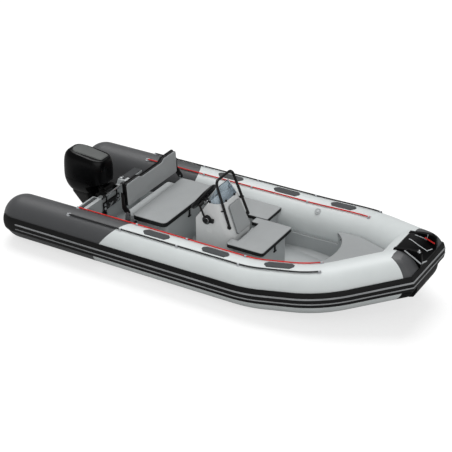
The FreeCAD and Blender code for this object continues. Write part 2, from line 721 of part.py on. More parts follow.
def build_hull():
    """Bottom, floor, side decks and bow locker."""
    whole = hull_block()
    floor_top = size("floor_height")
    floor_low = floor_top - size("floor_thick")
    wing = size("wing_x")
    thick = size("transom_thick")
    ledge_aft = size("tube_height") - size("ledge_drop")
    bottom = whole.common(slab_between(-FAR, floor_low))
    upper = whole.common(slab_between(floor_low, FAR))
    feature("hull_bottom", bottom)

    room = cockpit(floor_low, FAR, thick)
    start, inner, upper_point = floor_wedge()
    slope = (inner - start).cross(upper_point - start).normalize()
    if slope.z < 0:
        slope = slope * -1
    under_slope = half_space(start, slope * -1)
    near_wall = cockpit(floor_low, FAR, size("crease_start_x")).common(half_space(MIDDLE, Y_AXIS * -1))
    wedge = near_wall.common(under_slope).common(slab_between(floor_top, FAR))
    wedge = wedge.common(whole)

    slab = cockpit(floor_low, floor_top, thick).common(whole)
    feature("floor", slab)

    rise = (BEND_TWO - BEND_ONE).normalize()
    level_cut = half_space(Vector(0, 0, ledge_aft), Z_AXIS)
    tangent = rise.cross(Y_AXIS).normalize() * -1
    tangent = tangent if tangent.z > 0 else tangent * -1
    sheer_cut = half_space(Vector(size("bend_one_x"), 0, ledge_aft), tangent)
    over_ledge = level_cut.common(sheer_cut)
    walls = upper.cut(room).cut(over_ledge)
    walls = walls.common(block(Vector(thick, -FAR, -FAR), Vector(wing, 0, FAR)))
    side = fuse_all([walls, wedge.common(block(Vector(0, -FAR, -FAR), Vector(wing, 0, FAR)))])
    feature("side_deck_starboard", side)
    feature("side_deck_port", mirrored(side))

    deck_cut = half_space(deck_point(0.0), deck_normal())
    locker = upper.cut(room).cut(deck_cut)
    locker = locker.common(block(Vector(wing, -FAR, -FAR), Vector(FAR, FAR, FAR)))
    feature("bow_locker", locker)


def deck_point(share):
    """A point on the fore deck's middle line."""
    aft = Vector(size("wing_x"), 0, size("deck_aft_z"))
    fore = Vector(size("deck_fore_x"), 0, size("deck_fore_z"))
    return aft + (fore - aft) * share


def deck_normal():
    """The fore deck's upward direction."""
    along = deck_point(1.0) - deck_point(0.0)
    return Vector(-along.z, 0, along.x).normalize()


def build_bow_cushion():
    """The pad on the fore deck, between the tubes."""
    lip = size("bow_cushion_lip")
    gap = size("bow_cushion_gap")
    thick = size("bow_cushion_thick")
    under = half_space(deck_point(0.0) + deck_normal() * SEAT, deck_normal())
    over = half_space(deck_point(0.0) + deck_normal() * thick, deck_normal())
    outline = block(Vector(size("wing_x") - lip, -FAR, 0), Vector(size("deck_fore_x"), FAR, FAR))
    room = cockpit(0, FAR, size("transom_thick"))
    room.translate(X_AXIS * -lip)
    pad = outline.cut(room).common(under).cut(over)
    tubes = [tube_run(RADIUS + gap), cross_tube(RADIUS + gap)]
    tubes.append(mirrored(tubes[0]))
    middle = hull_breadth()
    feature("bow_cushion", pad.common(middle).cut(tubes))


def hull_breadth():
    """The plan between the centre lines of the tubes, from the keel up."""
    line = [Vector(point.x, point.y, 0) for point in run_points(0.0, 0.0)]
    other = [Vector(point.x, -point.y, 0) for point in reversed(line)]
    return prism(line + other, Z_AXIS * FAR)


def build_transom():
    """The transom with its two deep shoulders and the engine's notch."""
    half = size("notch_half")
    top = size("shoulder_top")
    low = size("floor_height") - size("floor_thick")
    tube = section_at(0)
    side = -tube.y
    corners = [
        (-size("chine_half"), low), (size("chine_half"), low),
        (side - 0.48 * RADIUS, tube.z - 0.8 * RADIUS), (side - 0.2 * RADIUS, tube.z),
        (side - 0.2 * RADIUS, top), (half, top), (half - 30, size("notch_top")),
        (30 - half, size("notch_top")), (-half, top), (0.2 * RADIUS - side, top),
        (0.2 * RADIUS - side, tube.z), (0.48 * RADIUS - side, tube.z - 0.8 * RADIUS),
    ]
    board = prism([Vector(0, y, z) for y, z in corners], X_AXIS * size("transom_thick"))
    floor = size("floor_height")
    wall = size("wall_half")
    shoulder = block(Vector(size("transom_thick"), half, floor), Vector(size("shoulder_deep"), side, top))
    ledge = size("tube_height") - size("ledge_drop")
    above = block(Vector(0, wall, ledge), Vector(FAR, FAR, FAR))
    inner = block(Vector(0, 0, floor), Vector(FAR, wall, FAR))
    shoulder = shoulder.common(inner.fuse(above))
    shape = fuse_all([board, shoulder, mirrored(shoulder)])
    feature("transom", clear_of_tubes(shape))

    deep = size("shoulder_deep")
    wide = size("strip_wide")
    strip_side = side - 0.86 * RADIUS
    strip_top = top + size("strip_thick")
    strip = block(Vector(deep / 4, half + 24, top), Vector(deep / 4 + wide, strip_side, strip_top))
    feature("transom_strips", both_sides(strip))


def build_eyes():
    """Two towing eyes on the transom and one under the bow."""
    reach = size("eye_reach")
    thick = size("eye_thick")
    bore = size("eye_bore")

    def eye(root, out, pin):
        across = out.cross(pin)
        side = pin * (thick / 2)
        high = across * 40
        wide = pin * 30
        corners = [high + wide, high - wide, wide * -1 - high, wide - high]
        plate = prism([root + corner for corner in corners], out * 4)
        tip = root + out * reach
        shank = Part.makeCylinder(2 * bore, thick, tip - side, pin)
        flank = across * (2 * bore)
        corners = [root + flank, root - flank, tip - flank, tip + flank]
        web = prism([corner - side for corner in corners], pin * thick)
        hole = Part.makeCylinder(bore, 4 * thick, tip - side * 4, pin)
        return fuse_all([plate, shank, web]).cut(hole)

    stern = eye(Vector(0, -size("eye_half"), size("eye_height")), X_AXIS * -1, Z_AXIS)
    feature("stern_eyes", both_sides(stern))
    bow_x = size("stem_x") - 260
    slope = Vector(1, 0, (keel_z(bow_x + 20) - keel_z(bow_x - 20)) / 40).normalize()
    down = slope.cross(Y_AXIS).normalize()
    down = down if down.z < 0 else down * -1
    bow = eye(Vector(bow_x, 0, keel_z(bow_x) + 12), down, Y_AXIS)
    whole = doc.getObject("bow_locker").Shape
    feature("bow_eye", bow.cut(whole).cut(doc.getObject("hull_bottom").Shape).Solids[0])


def build_bow_step():
    """The moulding over the bow tube: a tread between two cheeks, with a front flange."""
    half = size("step_half")
    aft = size("step_aft_x")
    fore = size("step_fore_x")
    low = size("step_low_z")
    tread = size("step_tread_z")
    top = size("cheek_top_z")
    thick = size("cheek_thick")
    corner = size("corner_x")
    crown = size("corner_z") + RADIUS
    body = [
        (aft, low), (fore, low), (fore, tread - 50), (fore - 34, tread), (corner + 110, tread + 50),
        (corner + 30, crown + 16), (corner - 40, crown + 12), (aft + 30, crown - 30), (aft, crown - 70),
    ]
    cheek = [
        (corner - 60, low), (fore, low), (fore + 8, tread), (fore - 4, top - 26), (fore - 50, top),
        (corner + 100, top - 4), (corner, top - 20), (corner - 60, crown + 12),
    ]
    saddle = prism([Vector(x, -half, z) for x, z in body], Y_AXIS * (2 * half))
    side = prism([Vector(x, half - thick, z) for x, z in cheek], Y_AXIS * thick)
    shape = fuse_all([saddle, side, mirrored(side)])
    feature("bow_step", clear_of_tubes(shape))

    radius = size("strap_radius")
    start = Vector(corner + 120, half - thick - radius - 3, top - 40)
    along = Vector(0.94, 0, -0.34) * size("strap_long")
    feet = []
    for share in (0.08, 0.92):
        foot = start + along * share
        feet.append(rod(foot, foot + Y_AXIS * (radius + 3), radius * 0.8))
    strap = fuse_all([rod(start, start + along, radius)] + feet)
    feature("bow_grab_straps", both_sides(strap))


# Pieces drawn as a sketch and padded

def origin_plane(body, role):
    """One of a body's own origin planes."""
    return [item for item in body.Origin.OriginFeatures if item.Role == role][0]


def outline_sketch(body, role, offset, corners):
    """A closed sketch of straight lines whose corners are bound to the cells."""
    sketch = body.newObject("Sketcher::SketchObject", body.Name + "_outline")
    sketch.AttachmentSupport = [(origin_plane(body, role), "")]
    sketch.MapMode = "FlatFace"
    if offset:
        sketch.setExpression("AttachmentOffset.Base.z", offset)
    count = len(corners)
    turns = [2 * math.pi * index / count for index in range(count)]
    ring = [Vector(math.cos(turn), math.sin(turn), 0) for turn in turns]
    for index in range(count):
        sketch.addGeometry(Part.LineSegment(ring[index], ring[(index + 1) % count]), False)
    for index in range(count):
        sketch.addConstraint(Sketcher.Constraint("Coincident", index, 2, (index + 1) % count, 1))
    for index, (across, up) in enumerate(corners):
        for kind, expression in (("DistanceX", across), ("DistanceY", up)):
            at = sketch.addConstraint(Sketcher.Constraint(kind, -1, 1, index, 1, 1.0 + index))
            sketch.setExpression("Constraints[%d]" % at, expression)
    return sketch


def padded_body(label, role, offset, corners, length, side_type="One side"):
    """A PartDesign body made of one padded outline."""
    body = doc.addObject("PartDesign::Body", label)
    sketch = outline_sketch(body, role, offset, corners)
    pad = body.newObject("PartDesign::Pad", label + "_pad")
    pad.Profile = sketch
    pad.SideType = side_type
    pad.setExpression("Length", length)
    doc.recompute()
    return keep(label, body)


def round_edges(body, name, radius, chosen):
    """Round the edges of a body's last feature that a test picks."""
    tip = body.Tip
    names = ["Edge%d" % number for number, edge in enumerate(tip.Shape.Edges, start=1) if chosen(edge)]
    fillet = body.newObject("PartDesign::Fillet", body.Name + "_" + name)
    fillet.Base = (tip, names)
    fillet.setExpression("Radius", radius)
    doc.recompute()
    return fillet


def runs_along(edge, axis):
    """Whether an edge is straight and runs along an axis."""
    if not isinstance(edge.Curve, Part.Line):
        return False
    return abs(edge.tangentAt(edge.FirstParameter).dot(axis)) > 0.999


def build_mount_pad():
    """The pad on the transom's forward face that the clamp screws press on."""
    corners = [
        ("-Sizes.mount_pad_half", "Sizes.notch_top - 4"),
        ("Sizes.mount_pad_half", "Sizes.notch_top - 4"),
        ("Sizes.mount_pad_half", "Sizes.notch_top - Sizes.mount_pad_high"),
        ("-Sizes.mount_pad_half", "Sizes.notch_top - Sizes.mount_pad_high"),
    ]
    padded_body("engine_mount_pad", "YZ_Plane", "Sizes.transom_thick", corners, "Sizes.mount_pad_thick")


BENCH_HALF = "(Sizes.tube_spread - Sizes.tube_radius - Sizes.bench_side_gap)"


def bench_cushion_half():
    """Half width of the bench cushion, between the tubes."""
    return size("tube_spread") - size("tube_radius") - size("bench_side_gap")


def build_bench():
    """Driver's bench, its cushion, and the backrest on its two pivots."""
    corners = [
        ("Sizes.bench_aft_x", "Sizes.floor_height"),
        ("Sizes.bench_fore_x - Sizes.bench_toe", "Sizes.floor_height"),
        ("Sizes.bench_fore_x", "Sizes.bench_top"),
        ("Sizes.bench_aft_x + Sizes.bench_toe", "Sizes.bench_top"),
    ]
    bench = padded_body("driver_bench", "XZ_Plane", "", corners, "2 * Sizes.bench_half", "Symmetric")
    round_edges(bench, "corners", "Sizes.bench_toe * 0.75",
                lambda edge: not runs_along(edge, Y_AXIS) and not runs_along(edge, X_AXIS))
    corners = [
        ("Sizes.bench_cushion_aft_x", "-" + BENCH_HALF),
        ("Sizes.bench_cushion_fore_x", "-" + BENCH_HALF),
        ("Sizes.bench_cushion_fore_x", BENCH_HALF),
        ("Sizes.bench_cushion_aft_x", BENCH_HALF),
    ]
    cushion = padded_body("driver_cushion", "XY_Plane", "Sizes.bench_top + Sizes.lid_gap", corners,
                          "Sizes.bench_cushion_thick")
    round_edges(cushion, "corners", "Sizes.cushion_corner", lambda edge: runs_along(edge, Z_AXIS))


def backrest_slab(low, top, face_x, thick, half, notch):
    """A flat panel of the backrest, with a shallow notch in its top edge."""
    deep = size("backrest_notch")
    slope = deep + 20
    corners = [(-half, low), (half, low), (half, top), (notch + slope, top), (notch, top - deep)]
    corners += [(-notch, top - deep), (-notch - slope, top), (-half, top)]
    panel = prism([Vector(face_x - thick, y, z) for y, z in corners], X_AXIS * thick)
    edges = [edge for edge in panel.Edges if runs_along(edge, X_AXIS)
             and abs(abs(edge.CenterOfMass.y) - half) < 1]
    panel = panel.makeFillet(size("cushion_corner") / 2, edges)
    pivot = Vector(size("pivot_x"), 0, size("pivot_z"))
    panel.rotate(pivot, Y_AXIS, -size("backrest_lean"))
    return panel


def build_backrest():
    """Pad, shell with two arms, and the brackets that carry the pivots."""
    half = size("backrest_half")
    low = size("backrest_low")
    top = size("backrest_top")
    face = size("backrest_face_x")
    thick = size("backrest_thick")
    notch = size("backrest_notch_half")
    pad = backrest_slab(low, top, face, thick, half, notch)
    feature("backrest_pad", pad)
    shell_half = half + 8
    shell = backrest_slab(low - 6, top + 6, face - thick, size("backrest_shell"), shell_half, notch)
    arm_in = bench_cushion_half() + size("arm_gap")
    arm_out = arm_in + size("arm_thick")
    wide = size("arm_wide")
    pivot_x = size("pivot_x")
    pivot_z = size("pivot_z")
    back = face - thick - size("backrest_shell")
    outline = [
        (pivot_x - wide / 2, pivot_z - wide / 2), (pivot_x + wide / 2, pivot_z - wide / 2),
        (pivot_x + wide / 2, pivot_z + wide / 2), (face - thick / 2, low + 40),
        (face - thick / 2, top - 120), (back, top - 90), (back, low - 10),
    ]
    arm = prism([Vector(x, -arm_out, z) for x, z in outline], Y_AXIS * size("arm_thick"))
    foot = prism([Vector(back, -arm_out, low + 20), Vector(back, -arm_out, top - 100),
                  Vector(back + size("backrest_shell"), -arm_out, top - 100),
                  Vector(back + size("backrest_shell"), -arm_out, low + 20)],
                 Y_AXIS * (arm_out - shell_half + 20))
    arm = arm.fuse(foot)
    pivot = Vector(pivot_x, 0, pivot_z)
    arm.rotate(pivot, Y_AXIS, -size("backrest_lean"))
    pin = size("pivot_radius")
    fit = size("pivot_fit")
    hole = Part.makeCylinder(pin + fit, 2 * FAR, Vector(pivot_x, -FAR, pivot_z), Y_AXIS)
    frame = fuse_all([shell, arm, mirrored(arm)]).cut(hole)
    feature("backrest_shell", frame.cut(pad))

    gap = 4
    plate = size("bracket_thick")
    outer = arm_out + gap + plate
    bench_half = size("bench_half")
    shelf = size("bench_top") - 30
    ear = prism([Vector(pivot_x - 34, -outer, shelf - 24), Vector(pivot_x + 34, -outer, shelf - 24),
                 Vector(pivot_x + 24, -outer, pivot_z + 10), Vector(pivot_x, -outer, pivot_z + 26),
                 Vector(pivot_x - 24, -outer, pivot_z + 10)], Y_AXIS * plate)
    arm_low = block(Vector(pivot_x - 34, -outer, shelf - 24),
                    Vector(pivot_x + 34, -bench_half, shelf - 24 + plate))
    base = block(Vector(pivot_x - 50, -bench_half - plate, shelf - 70),
                 Vector(pivot_x + 50, -bench_half, shelf - 16))
    stub = Part.makeCylinder(pin, outer - arm_in + 3, Vector(pivot_x, -outer, pivot_z), Y_AXIS)
    bracket = fuse_all([ear, arm_low, base, stub])
    feature("backrest_brackets", both_sides(bracket))


def rounded_outline(aft, fore, half, aft_round, fore_round, height):
    """A closed plan outline of the console with round corners, at a height."""
    middle = size("console_y")

    def corner(x, y, turn, start):
        begin = math.radians(start)
        centre = Vector(x, y, height)
        first, half_way, last = [
            centre + Vector(math.cos(begin + a), math.sin(begin + a), 0) * turn
            for a in (0, math.pi / 4, math.pi / 2)
        ]
        return Part.Arc(first, half_way, last).toShape(), first, last

    parts = (
        corner(fore - fore_round, middle + half - fore_round, fore_round, 0),
        corner(aft + aft_round, middle + half - aft_round, aft_round, 90),
        corner(aft + aft_round, middle - half + aft_round, aft_round, 180),
        corner(fore - fore_round, middle - half + fore_round, fore_round, 270),
    )
    edges = []
    for index, (arc, first, last) in enumerate(parts):
        edges.append(arc)
        edges.append(Part.LineSegment(last, parts[(index + 1) % 4][1]).toShape())
    return Part.Wire(edges)


def dash_top():
    """Aft edge of the console's top."""
    return size("console_top_x") - size("console_top_long")


def console_front(height):
    """Front of the console at a height over the seat."""
    low = size("console_seat_z")
    share = (height - low) / (size("console_top") - low)
    return size("console_seat_x") + (size("console_top_x") - size("console_seat_x")) * share


def console_corner(height):
    """Front corner radius of the console at a height."""
    low = size("floor_height")
    share = (height - low) / (size("console_top") - low)
    return size("console_foot_round") + (size("console_round") - size("console_foot_round")) * share


def build_console():
    """Console, instrument panel, windscreen, rail and back pad."""
    aft = size("console_aft_x")
    edge = size("console_edge")
    half = size("console_half")
    levels = (
        (size("floor_height"), aft, size("console_foot_x")),
        (size("console_seat_z"), aft, size("console_seat_x")),
        (size("dash_low_z"), aft, console_front(size("dash_low_z"))),
        (size("console_top"), dash_top(), size("console_top_x")),
    )
    wires = [rounded_outline(back, front, half, edge, console_corner(z), z) for z, back, front in levels]
    console = ruled_solid(wires)
    feature("console", console)

    middle = size("console_y")
    low = Vector(aft, middle, size("dash_low_z"))
    high = Vector(dash_top(), middle, size("console_top"))
    slope = (high - low).normalize()
    out = Vector(-slope.z, 0, slope.x)
    margin = size("dash_margin")
    wide = half - edge - margin
    start = low + slope * margin - Y_AXIS * wide
    end = high - slope * margin - Y_AXIS * wide
    corners = [start, end, end + Y_AXIS * (2 * wide), start + Y_AXIS * (2 * wide)]
    panel = prism(corners, out * size("dash_thick"))
    wheel = Vector(size("wheel_x"), middle, size("wheel_z"))
    reach = (wheel - low).dot(out)
    foot = wheel - out * reach
    column_long = reach - size("wheel_hub_high") / 2 - size("wheel_gap")
    column = Part.makeCylinder(size("column_radius"), column_long, foot, out)
    feature("instrument_panel", panel.fuse(column).removeSplitter())

    windscreen()
    console_rail(console)
    console_pad()


def windscreen():
    """A thin screen that wraps round the console's top and leans aft."""
    inset = size("screen_inset")
    thick = size("screen_thick")
    top = size("console_top")

    def strip(rise, lean_x, lean_y):
        front = size("console_top_x") - inset - lean_x
        back = dash_top() + inset - lean_x * 0.2
        half = size("console_half") - inset - lean_y
        turn = min(size("console_round") - inset, front - back - 10)
        middle = size("console_y")
        z = top + rise
        points = []
        for deep in (0, thick):
            bend = turn - deep
            centre_x = front - turn
            outer = []
            for side in (1, -1):
                centre_y = middle + side * (half - turn)
                outer.append([
                    Vector(back, middle + side * (half - deep), z),
                    Vector(centre_x, middle + side * (half - deep), z),
                    Vector(centre_x + bend * math.sqrt(0.5), centre_y + side * bend * math.sqrt(0.5), z),
                    Vector(front - deep, centre_y, z),
                ])
            points.append(outer)
        (port_out, star_out), (port_in, star_in) = points
        edges = [
            Part.LineSegment(port_out[0], port_out[1]).toShape(),
            Part.Arc(port_out[1], port_out[2], port_out[3]).toShape(),
            Part.LineSegment(port_out[3], star_out[3]).toShape(),
            Part.Arc(star_out[3], star_out[2], star_out[1]).toShape(),
            Part.LineSegment(star_out[1], star_out[0]).toShape(),
            Part.LineSegment(star_out[0], star_in[0]).toShape(),
            Part.LineSegment(star_in[0], star_in[1]).toShape(),
            Part.Arc(star_in[1], star_in[2], star_in[3]).toShape(),
            Part.LineSegment(star_in[3], port_in[3]).toShape(),
            Part.Arc(port_in[3], port_in[2], port_in[1]).toShape(),
            Part.LineSegment(port_in[1], port_in[0]).toShape(),
            Part.LineSegment(port_in[0], port_out[0]).toShape(),
        ]
        return Part.Wire(edges)

    feature("windscreen", ruled_solid([
        strip(0.0, 0.0, 0.0), strip(size("screen_high"), size("screen_lean_x"), size("screen_lean_y"))]))


def console_rail(console):
    """A hoop from one side of the console's front over the windscreen to the other."""
    middle = size("console_y")
    radius = size("rail_radius")
    foot_half = size("rail_foot_half")
    top_half = size("rail_top_half")
    foot = Vector(size("rail_foot_x"), middle - foot_half, size("rail_foot_z"))
    corner = Vector(size("rail_top_x"), middle - top_half, size("rail_top_z"))
    mirror_y = 2 * middle
    other_corner = Vector(corner.x, mirror_y - corner.y, corner.z)
    other_foot = Vector(foot.x, mirror_y - foot.y, foot.z)
    hook = Vector(-70, 46, -46)
    other_hook = Vector(hook.x, -hook.y, hook.z)
    points = [foot + hook, foot, corner, other_corner, other_foot, other_foot + other_hook]
    turn = size("rail_turn")
    path = rounded_path(points, (radius * 1.6, turn, turn, radius * 1.6))
    start = points[0]
    circle = Part.Wire([Part.Circle(start, points[1] - start, radius).toShape()])
    hoop = path.makePipe(Part.Face(circle))
    share = (size("rail_stub_z") - foot.z) / (corner.z - foot.z)
    leg = foot + (corner - foot) * share
    inward = Vector(-60, 70, 0)
    stubs = [rod(leg, leg + inward, radius * 0.6)]
    port = Vector(leg.x, mirror_y - leg.y, leg.z)
    stubs.append(rod(port, port + Vector(inward.x, -inward.y, 0), radius * 0.6))
    feature("console_rail", fuse_all([hoop] + stubs).cut(console))


def console_pad():
    """The back pad of the front seat, on the console's sloped front."""
    middle = size("console_y")
    low_z = size("console_pad_low_z")
    top_z = size("console_pad_top_z")
    rise = Vector(console_front(top_z) - console_front(low_z), 0, top_z - low_z).normalize()
    out = Vector(rise.z, 0, -rise.x)
    lift = out * SEAT
    low_half = size("console_pad_low_half")
    top_half = size("console_pad_top_half")
    corners = [
        Vector(console_front(low_z), middle - low_half, low_z) + lift,
        Vector(console_front(low_z), middle + low_half, low_z) + lift,
        Vector(console_front(top_z), middle + top_half, top_z) + lift,
        Vector(console_front(top_z), middle - top_half, top_z) + lift,
    ]
    pad = prism(corners, out * size("console_pad_thick"))
    edges = [edge for edge in pad.Edges if runs_along(edge, out)]
    feature("console_back_pad", pad.makeFillet(size("cushion_corner") / 2, edges))


def build_wheel():
    """Steering wheel: rim, three spokes and hub, square to the sloped dash."""
    middle = size("console_y")
    low = Vector(size("console_aft_x"), middle, size("dash_low_z"))
    high = Vector(dash_top(), middle, size("console_top"))
    slope = (high - low).normalize()
    out = Vector(-slope.z, 0, slope.x)
    centre = Vector(size("wheel_x"), middle, size("wheel_z"))
    rim = Part.makeTorus(size("wheel_radius"), size("rim_radius"), centre, out)
    tall = size("wheel_hub_high")
    hub = Part.makeCylinder(size("wheel_hub"), tall, centre - out * (tall / 2), out)
    spokes = []
    for degrees in (90, 210, 330):
        turn = math.radians(degrees)
        reach = slope * math.sin(turn) + Y_AXIS * math.cos(turn)
        spokes.append(rod(centre, centre + reach * size("wheel_radius"), size("spoke_radius")))
    feature("steering_wheel", fuse_all([rim, hub] + spokes))


def build_throttle():
    """Throttle box on the console's starboard side, with its lever."""
    side = size("console_y") - size("console_half")
    radius = size("throttle_radius")
    deep = size("throttle_deep")
    hub = Vector(size("throttle_x"), side, size("throttle_z"))
    box = Part.makeCylinder(radius, deep, hub, Y_AXIS * -1)
    tail = block(hub + Vector(0, -deep * 0.8, -radius * 0.5), hub + Vector(radius * 1.7, 0, radius * 0.35))
    turn = math.radians(size("lever_tilt"))
    up = Vector(-math.sin(turn), 0, math.cos(turn))
    root = hub - Y_AXIS * (deep + 6)
    boss = Part.makeCylinder(radius * 0.55, 14, hub - Y_AXIS * deep, Y_AXIS * -1)
    lever = rod(root, root + up * size("lever_long"), 9)
    grip_low = root + up * (size("lever_long") - 10)
    grip = rod(grip_low, grip_low + Y_AXIS * 70 + up * 6, 15)
    feature("throttle", fuse_all([box, tail, boss, lever, grip]))


NECK = "Sizes.front_aft_x + Sizes.front_neck"
NECK_LOW = "Sizes.console_y - Sizes.console_half + Sizes.console_clear"
NECK_HIGH = "Sizes.console_y + Sizes.console_half - Sizes.console_clear"


def build_front_seat():
    """Front seat's base and its lidded cushion, which wraps round the console."""
    corners = [
        ("Sizes.front_aft_x", NECK_LOW),
        (NECK, NECK_LOW),
        (NECK, "Sizes.front_low_y"),
        ("Sizes.front_fore_x", "Sizes.front_low_y"),
        ("Sizes.front_fore_x", "Sizes.front_high_y"),
        (NECK, "Sizes.front_high_y"),
        (NECK, NECK_HIGH),
        ("Sizes.front_aft_x", NECK_HIGH),
    ]
    base = padded_body("front_seat_base", "XY_Plane", "Sizes.floor_height", corners,
                       "Sizes.front_top - Sizes.floor_height")
    round_edges(base, "corners", "Sizes.bench_toe * 0.75",
                lambda edge: runs_along(edge, Z_AXIS) and edge.CenterOfMass.x > size("front_fore_x") - 1)
    corners = [
        ("Sizes.front_cushion_aft_x", "Sizes.console_y - Sizes.console_half - Sizes.console_clear"),
        ("Sizes.front_wing_x", "Sizes.console_y - Sizes.console_half - Sizes.console_clear"),
        ("Sizes.front_wing_x", "Sizes.front_cushion_low_y"),
        ("Sizes.front_cushion_fore_x", "Sizes.front_cushion_low_y"),
        ("Sizes.front_cushion_fore_x", "Sizes.front_cushion_high_y"),
        ("Sizes.front_wing_x", "Sizes.front_cushion_high_y"),
        ("Sizes.front_wing_x", "Sizes.console_y + Sizes.console_half + Sizes.console_clear"),
        ("Sizes.front_cushion_aft_x", "Sizes.console_y + Sizes.console_half + Sizes.console_clear"),
    ]
    cushion = padded_body("front_cushion", "XY_Plane",
                          "Sizes.front_cushion_top - Sizes.front_cushion_thick", corners,
                          "Sizes.front_cushion_thick")
    round_edges(cushion, "corners", "Sizes.cushion_corner * 0.6",
                lambda edge: runs_along(edge, Z_AXIS)
                and abs(edge.CenterOfMass.y - size("front_cushion_low_y")) < 1
                or runs_along(edge, Z_AXIS) and edge.CenterOfMass.x > size("front_cushion_fore_x") - 1)
    lid_low = (
        "Sizes.front_low_y + Sizes.front_cushion_high_y - Sizes.front_high_y - Sizes.front_lid_ledge"
    )
    corners = [
        ("Sizes.front_hinge_x", lid_low),
        ("Sizes.front_fore_x", lid_low),
        ("Sizes.front_fore_x", "Sizes.front_high_y"),
        ("Sizes.front_hinge_x", "Sizes.front_high_y"),
    ]
    padded_body("front_lid", "XY_Plane", "Sizes.front_top + Sizes.lid_gap", corners, "Sizes.lid_board")


def build_side_seat():
    """Side seat to port: an inset base and its cushion, cut to the tube."""
    aft = size("side_aft_x")
    fore = size("side_fore_x")
    low = size("side_low_y")
    high = size("side_high_y")
    inset = size("side_inset")
    top = size("front_cushion_top")
    thick = size("side_cushion_thick")
    floor = size("floor_height")
    base = block(Vector(aft, low + inset, floor), Vector(fore - inset, high, top - thick))
    deck = doc.getObject("side_deck_port").Shape
    feature("side_seat_base", clear_of_tubes(base.cut(deck)).Solids[0])
    cushion = block(Vector(aft, low, top - thick + SEAT), Vector(fore, high, top))
    cushion = cushion.makeFillet(size("cushion_corner") / 4, [edge for edge in cushion.Edges
                                                              if runs_along(edge, Z_AXIS)])
    feature("side_seat_cushion", clear_of_tubes(cushion))


def build_latches():
    """Rubber latches on the fronts of the two lidded seats."""
    latches = []
    fronts = (
        (size("front_fore_x"), (size("front_low_y") + size("front_high_y")) / 2, size("front_top")),
        (size("bench_fore_x") - 4, 0.0, size("bench_top")),
    )
    for x, y, top in fronts:
        strap = block(Vector(x - 16, y - 12, top - 92), Vector(x + 10, y + 12, top - 6))
        handle = block(Vector(x - 16, y - 26, top - 92), Vector(x + 14, y + 26, top - 78))
        latches.append(strap.fuse(handle).removeSplitter())
    seats = [doc.getObject("front_seat_base").Shape, doc.getObject("driver_bench").Shape]
    feature("lid_latches", Part.makeCompound([latch.cut(seats) for latch in latches]))


# Outboard engine

def rounded_box_wire(aft, fore, half, turn, height):
    """A closed level outline with round corners, centred on the boat's middle."""
    turn = min(turn, half - 1, (fore - aft) / 2 - 1)
    edges = []
    centres = (
        (fore - turn, half - turn, 0), (aft + turn, half - turn, 90),
        (aft + turn, turn - half, 180), (fore - turn, turn - half, 270),
    )
    corners = []
    for x, y, start in centres:
        begin = math.radians(start)
        corners.append([
            Vector(x + turn * math.cos(begin + a), y + turn * math.sin(begin + a), height)
            for a in (0, math.pi / 4, math.pi / 2)
        ])
    for index, (first, middle, last) in enumerate(corners):
        edges.append(Part.Arc(first, middle, last).toShape())
        edges.append(Part.LineSegment(last, corners[(index + 1) % 4][0]).toShape())
    return Part.Wire(edges)


# Rings of the cowl: height above its foot or below its crown, how far each end and
# side comes in from its full size, and the corner radius
COWL_LOWER = (
    (0, 72, 170, 50, 70),
    (90, 16, 12, 10, 96),
    (150, 0, 0, 0, 110),
)
COWL_UPPER = (
    (170, 4, 8, 0, 120),
    (54, 26, 18, 16, 106),
    (0, 84, 30, 54, 86),
)


def cowl_levels(inset):
    """Outlines of the cowl from its tray to its crown, moved in by a wall."""
    aft = size("cowl_aft_x") + inset
    fore = size("cowl_fore_x") - inset
    half = size("cowl_half") - inset
    low = size("cowl_low")
    top = size("cowl_top") - inset
    rings = [(low + rise, *ring) for rise, *ring in COWL_LOWER]
    rings += [(top - drop, *ring) for drop, *ring in COWL_UPPER]
    return [
        rounded_box_wire(aft + aft_in, fore - fore_in, half - side_in, turn, height)
        for height, aft_in, fore_in, side_in, turn in rings
    ]


def cap_wire(aft, fore, half, height):
    """Outline of the cowl's top panel: round aft, tapered to the front."""
    turn = 80
    line = [(aft + turn, half), (fore - 24, half * 0.8), (fore, half * 0.62)]
    points = [Vector(x, y, height) for x, y in line]
    points += [Vector(x, -y, height) for x, y in reversed(line)]
    edges = [Part.LineSegment(a, b).toShape() for a, b in zip(points, points[1:])]
    edges.append(Part.Arc(points[-1], Vector(aft, 0, height), points[0]).toShape())
    return Part.Wire(edges)


def chin(wall, back):
    """The room under the cowl's front, where the engine tilts over its brackets."""
    fore = size("cowl_fore_x")
    start = size("steer_x") + back - wall
    aft_z = size("chin_aft_z") + wall
    fore_z = size("chin_fore_z") + wall
    profile = [
        (start, 0), (start + 12, aft_z), (-20 - wall / 2, aft_z + 30),
        (size("tilt_x"), fore_z - 14), (size("tilt_x") + 30, fore_z), (FAR, fore_z), (FAR, 0),
    ]
    return prism([Vector(x, -fore * 9, z) for x, z in profile], Y_AXIS * (fore * 18))


def swept_chin(wall):
    """That room at every steering angle."""
    swing = size("steer_swing")
    rooms = [chin(wall, size("chin_back"))]
    for turn in (-swing, -swing / 2, swing / 2, swing):
        room = chin(wall, size("swing_back"))
        room.rotate(Vector(size("steer_x"), 0, 0), Z_AXIS, turn)
        rooms.append(room)
    return fuse_all(rooms)


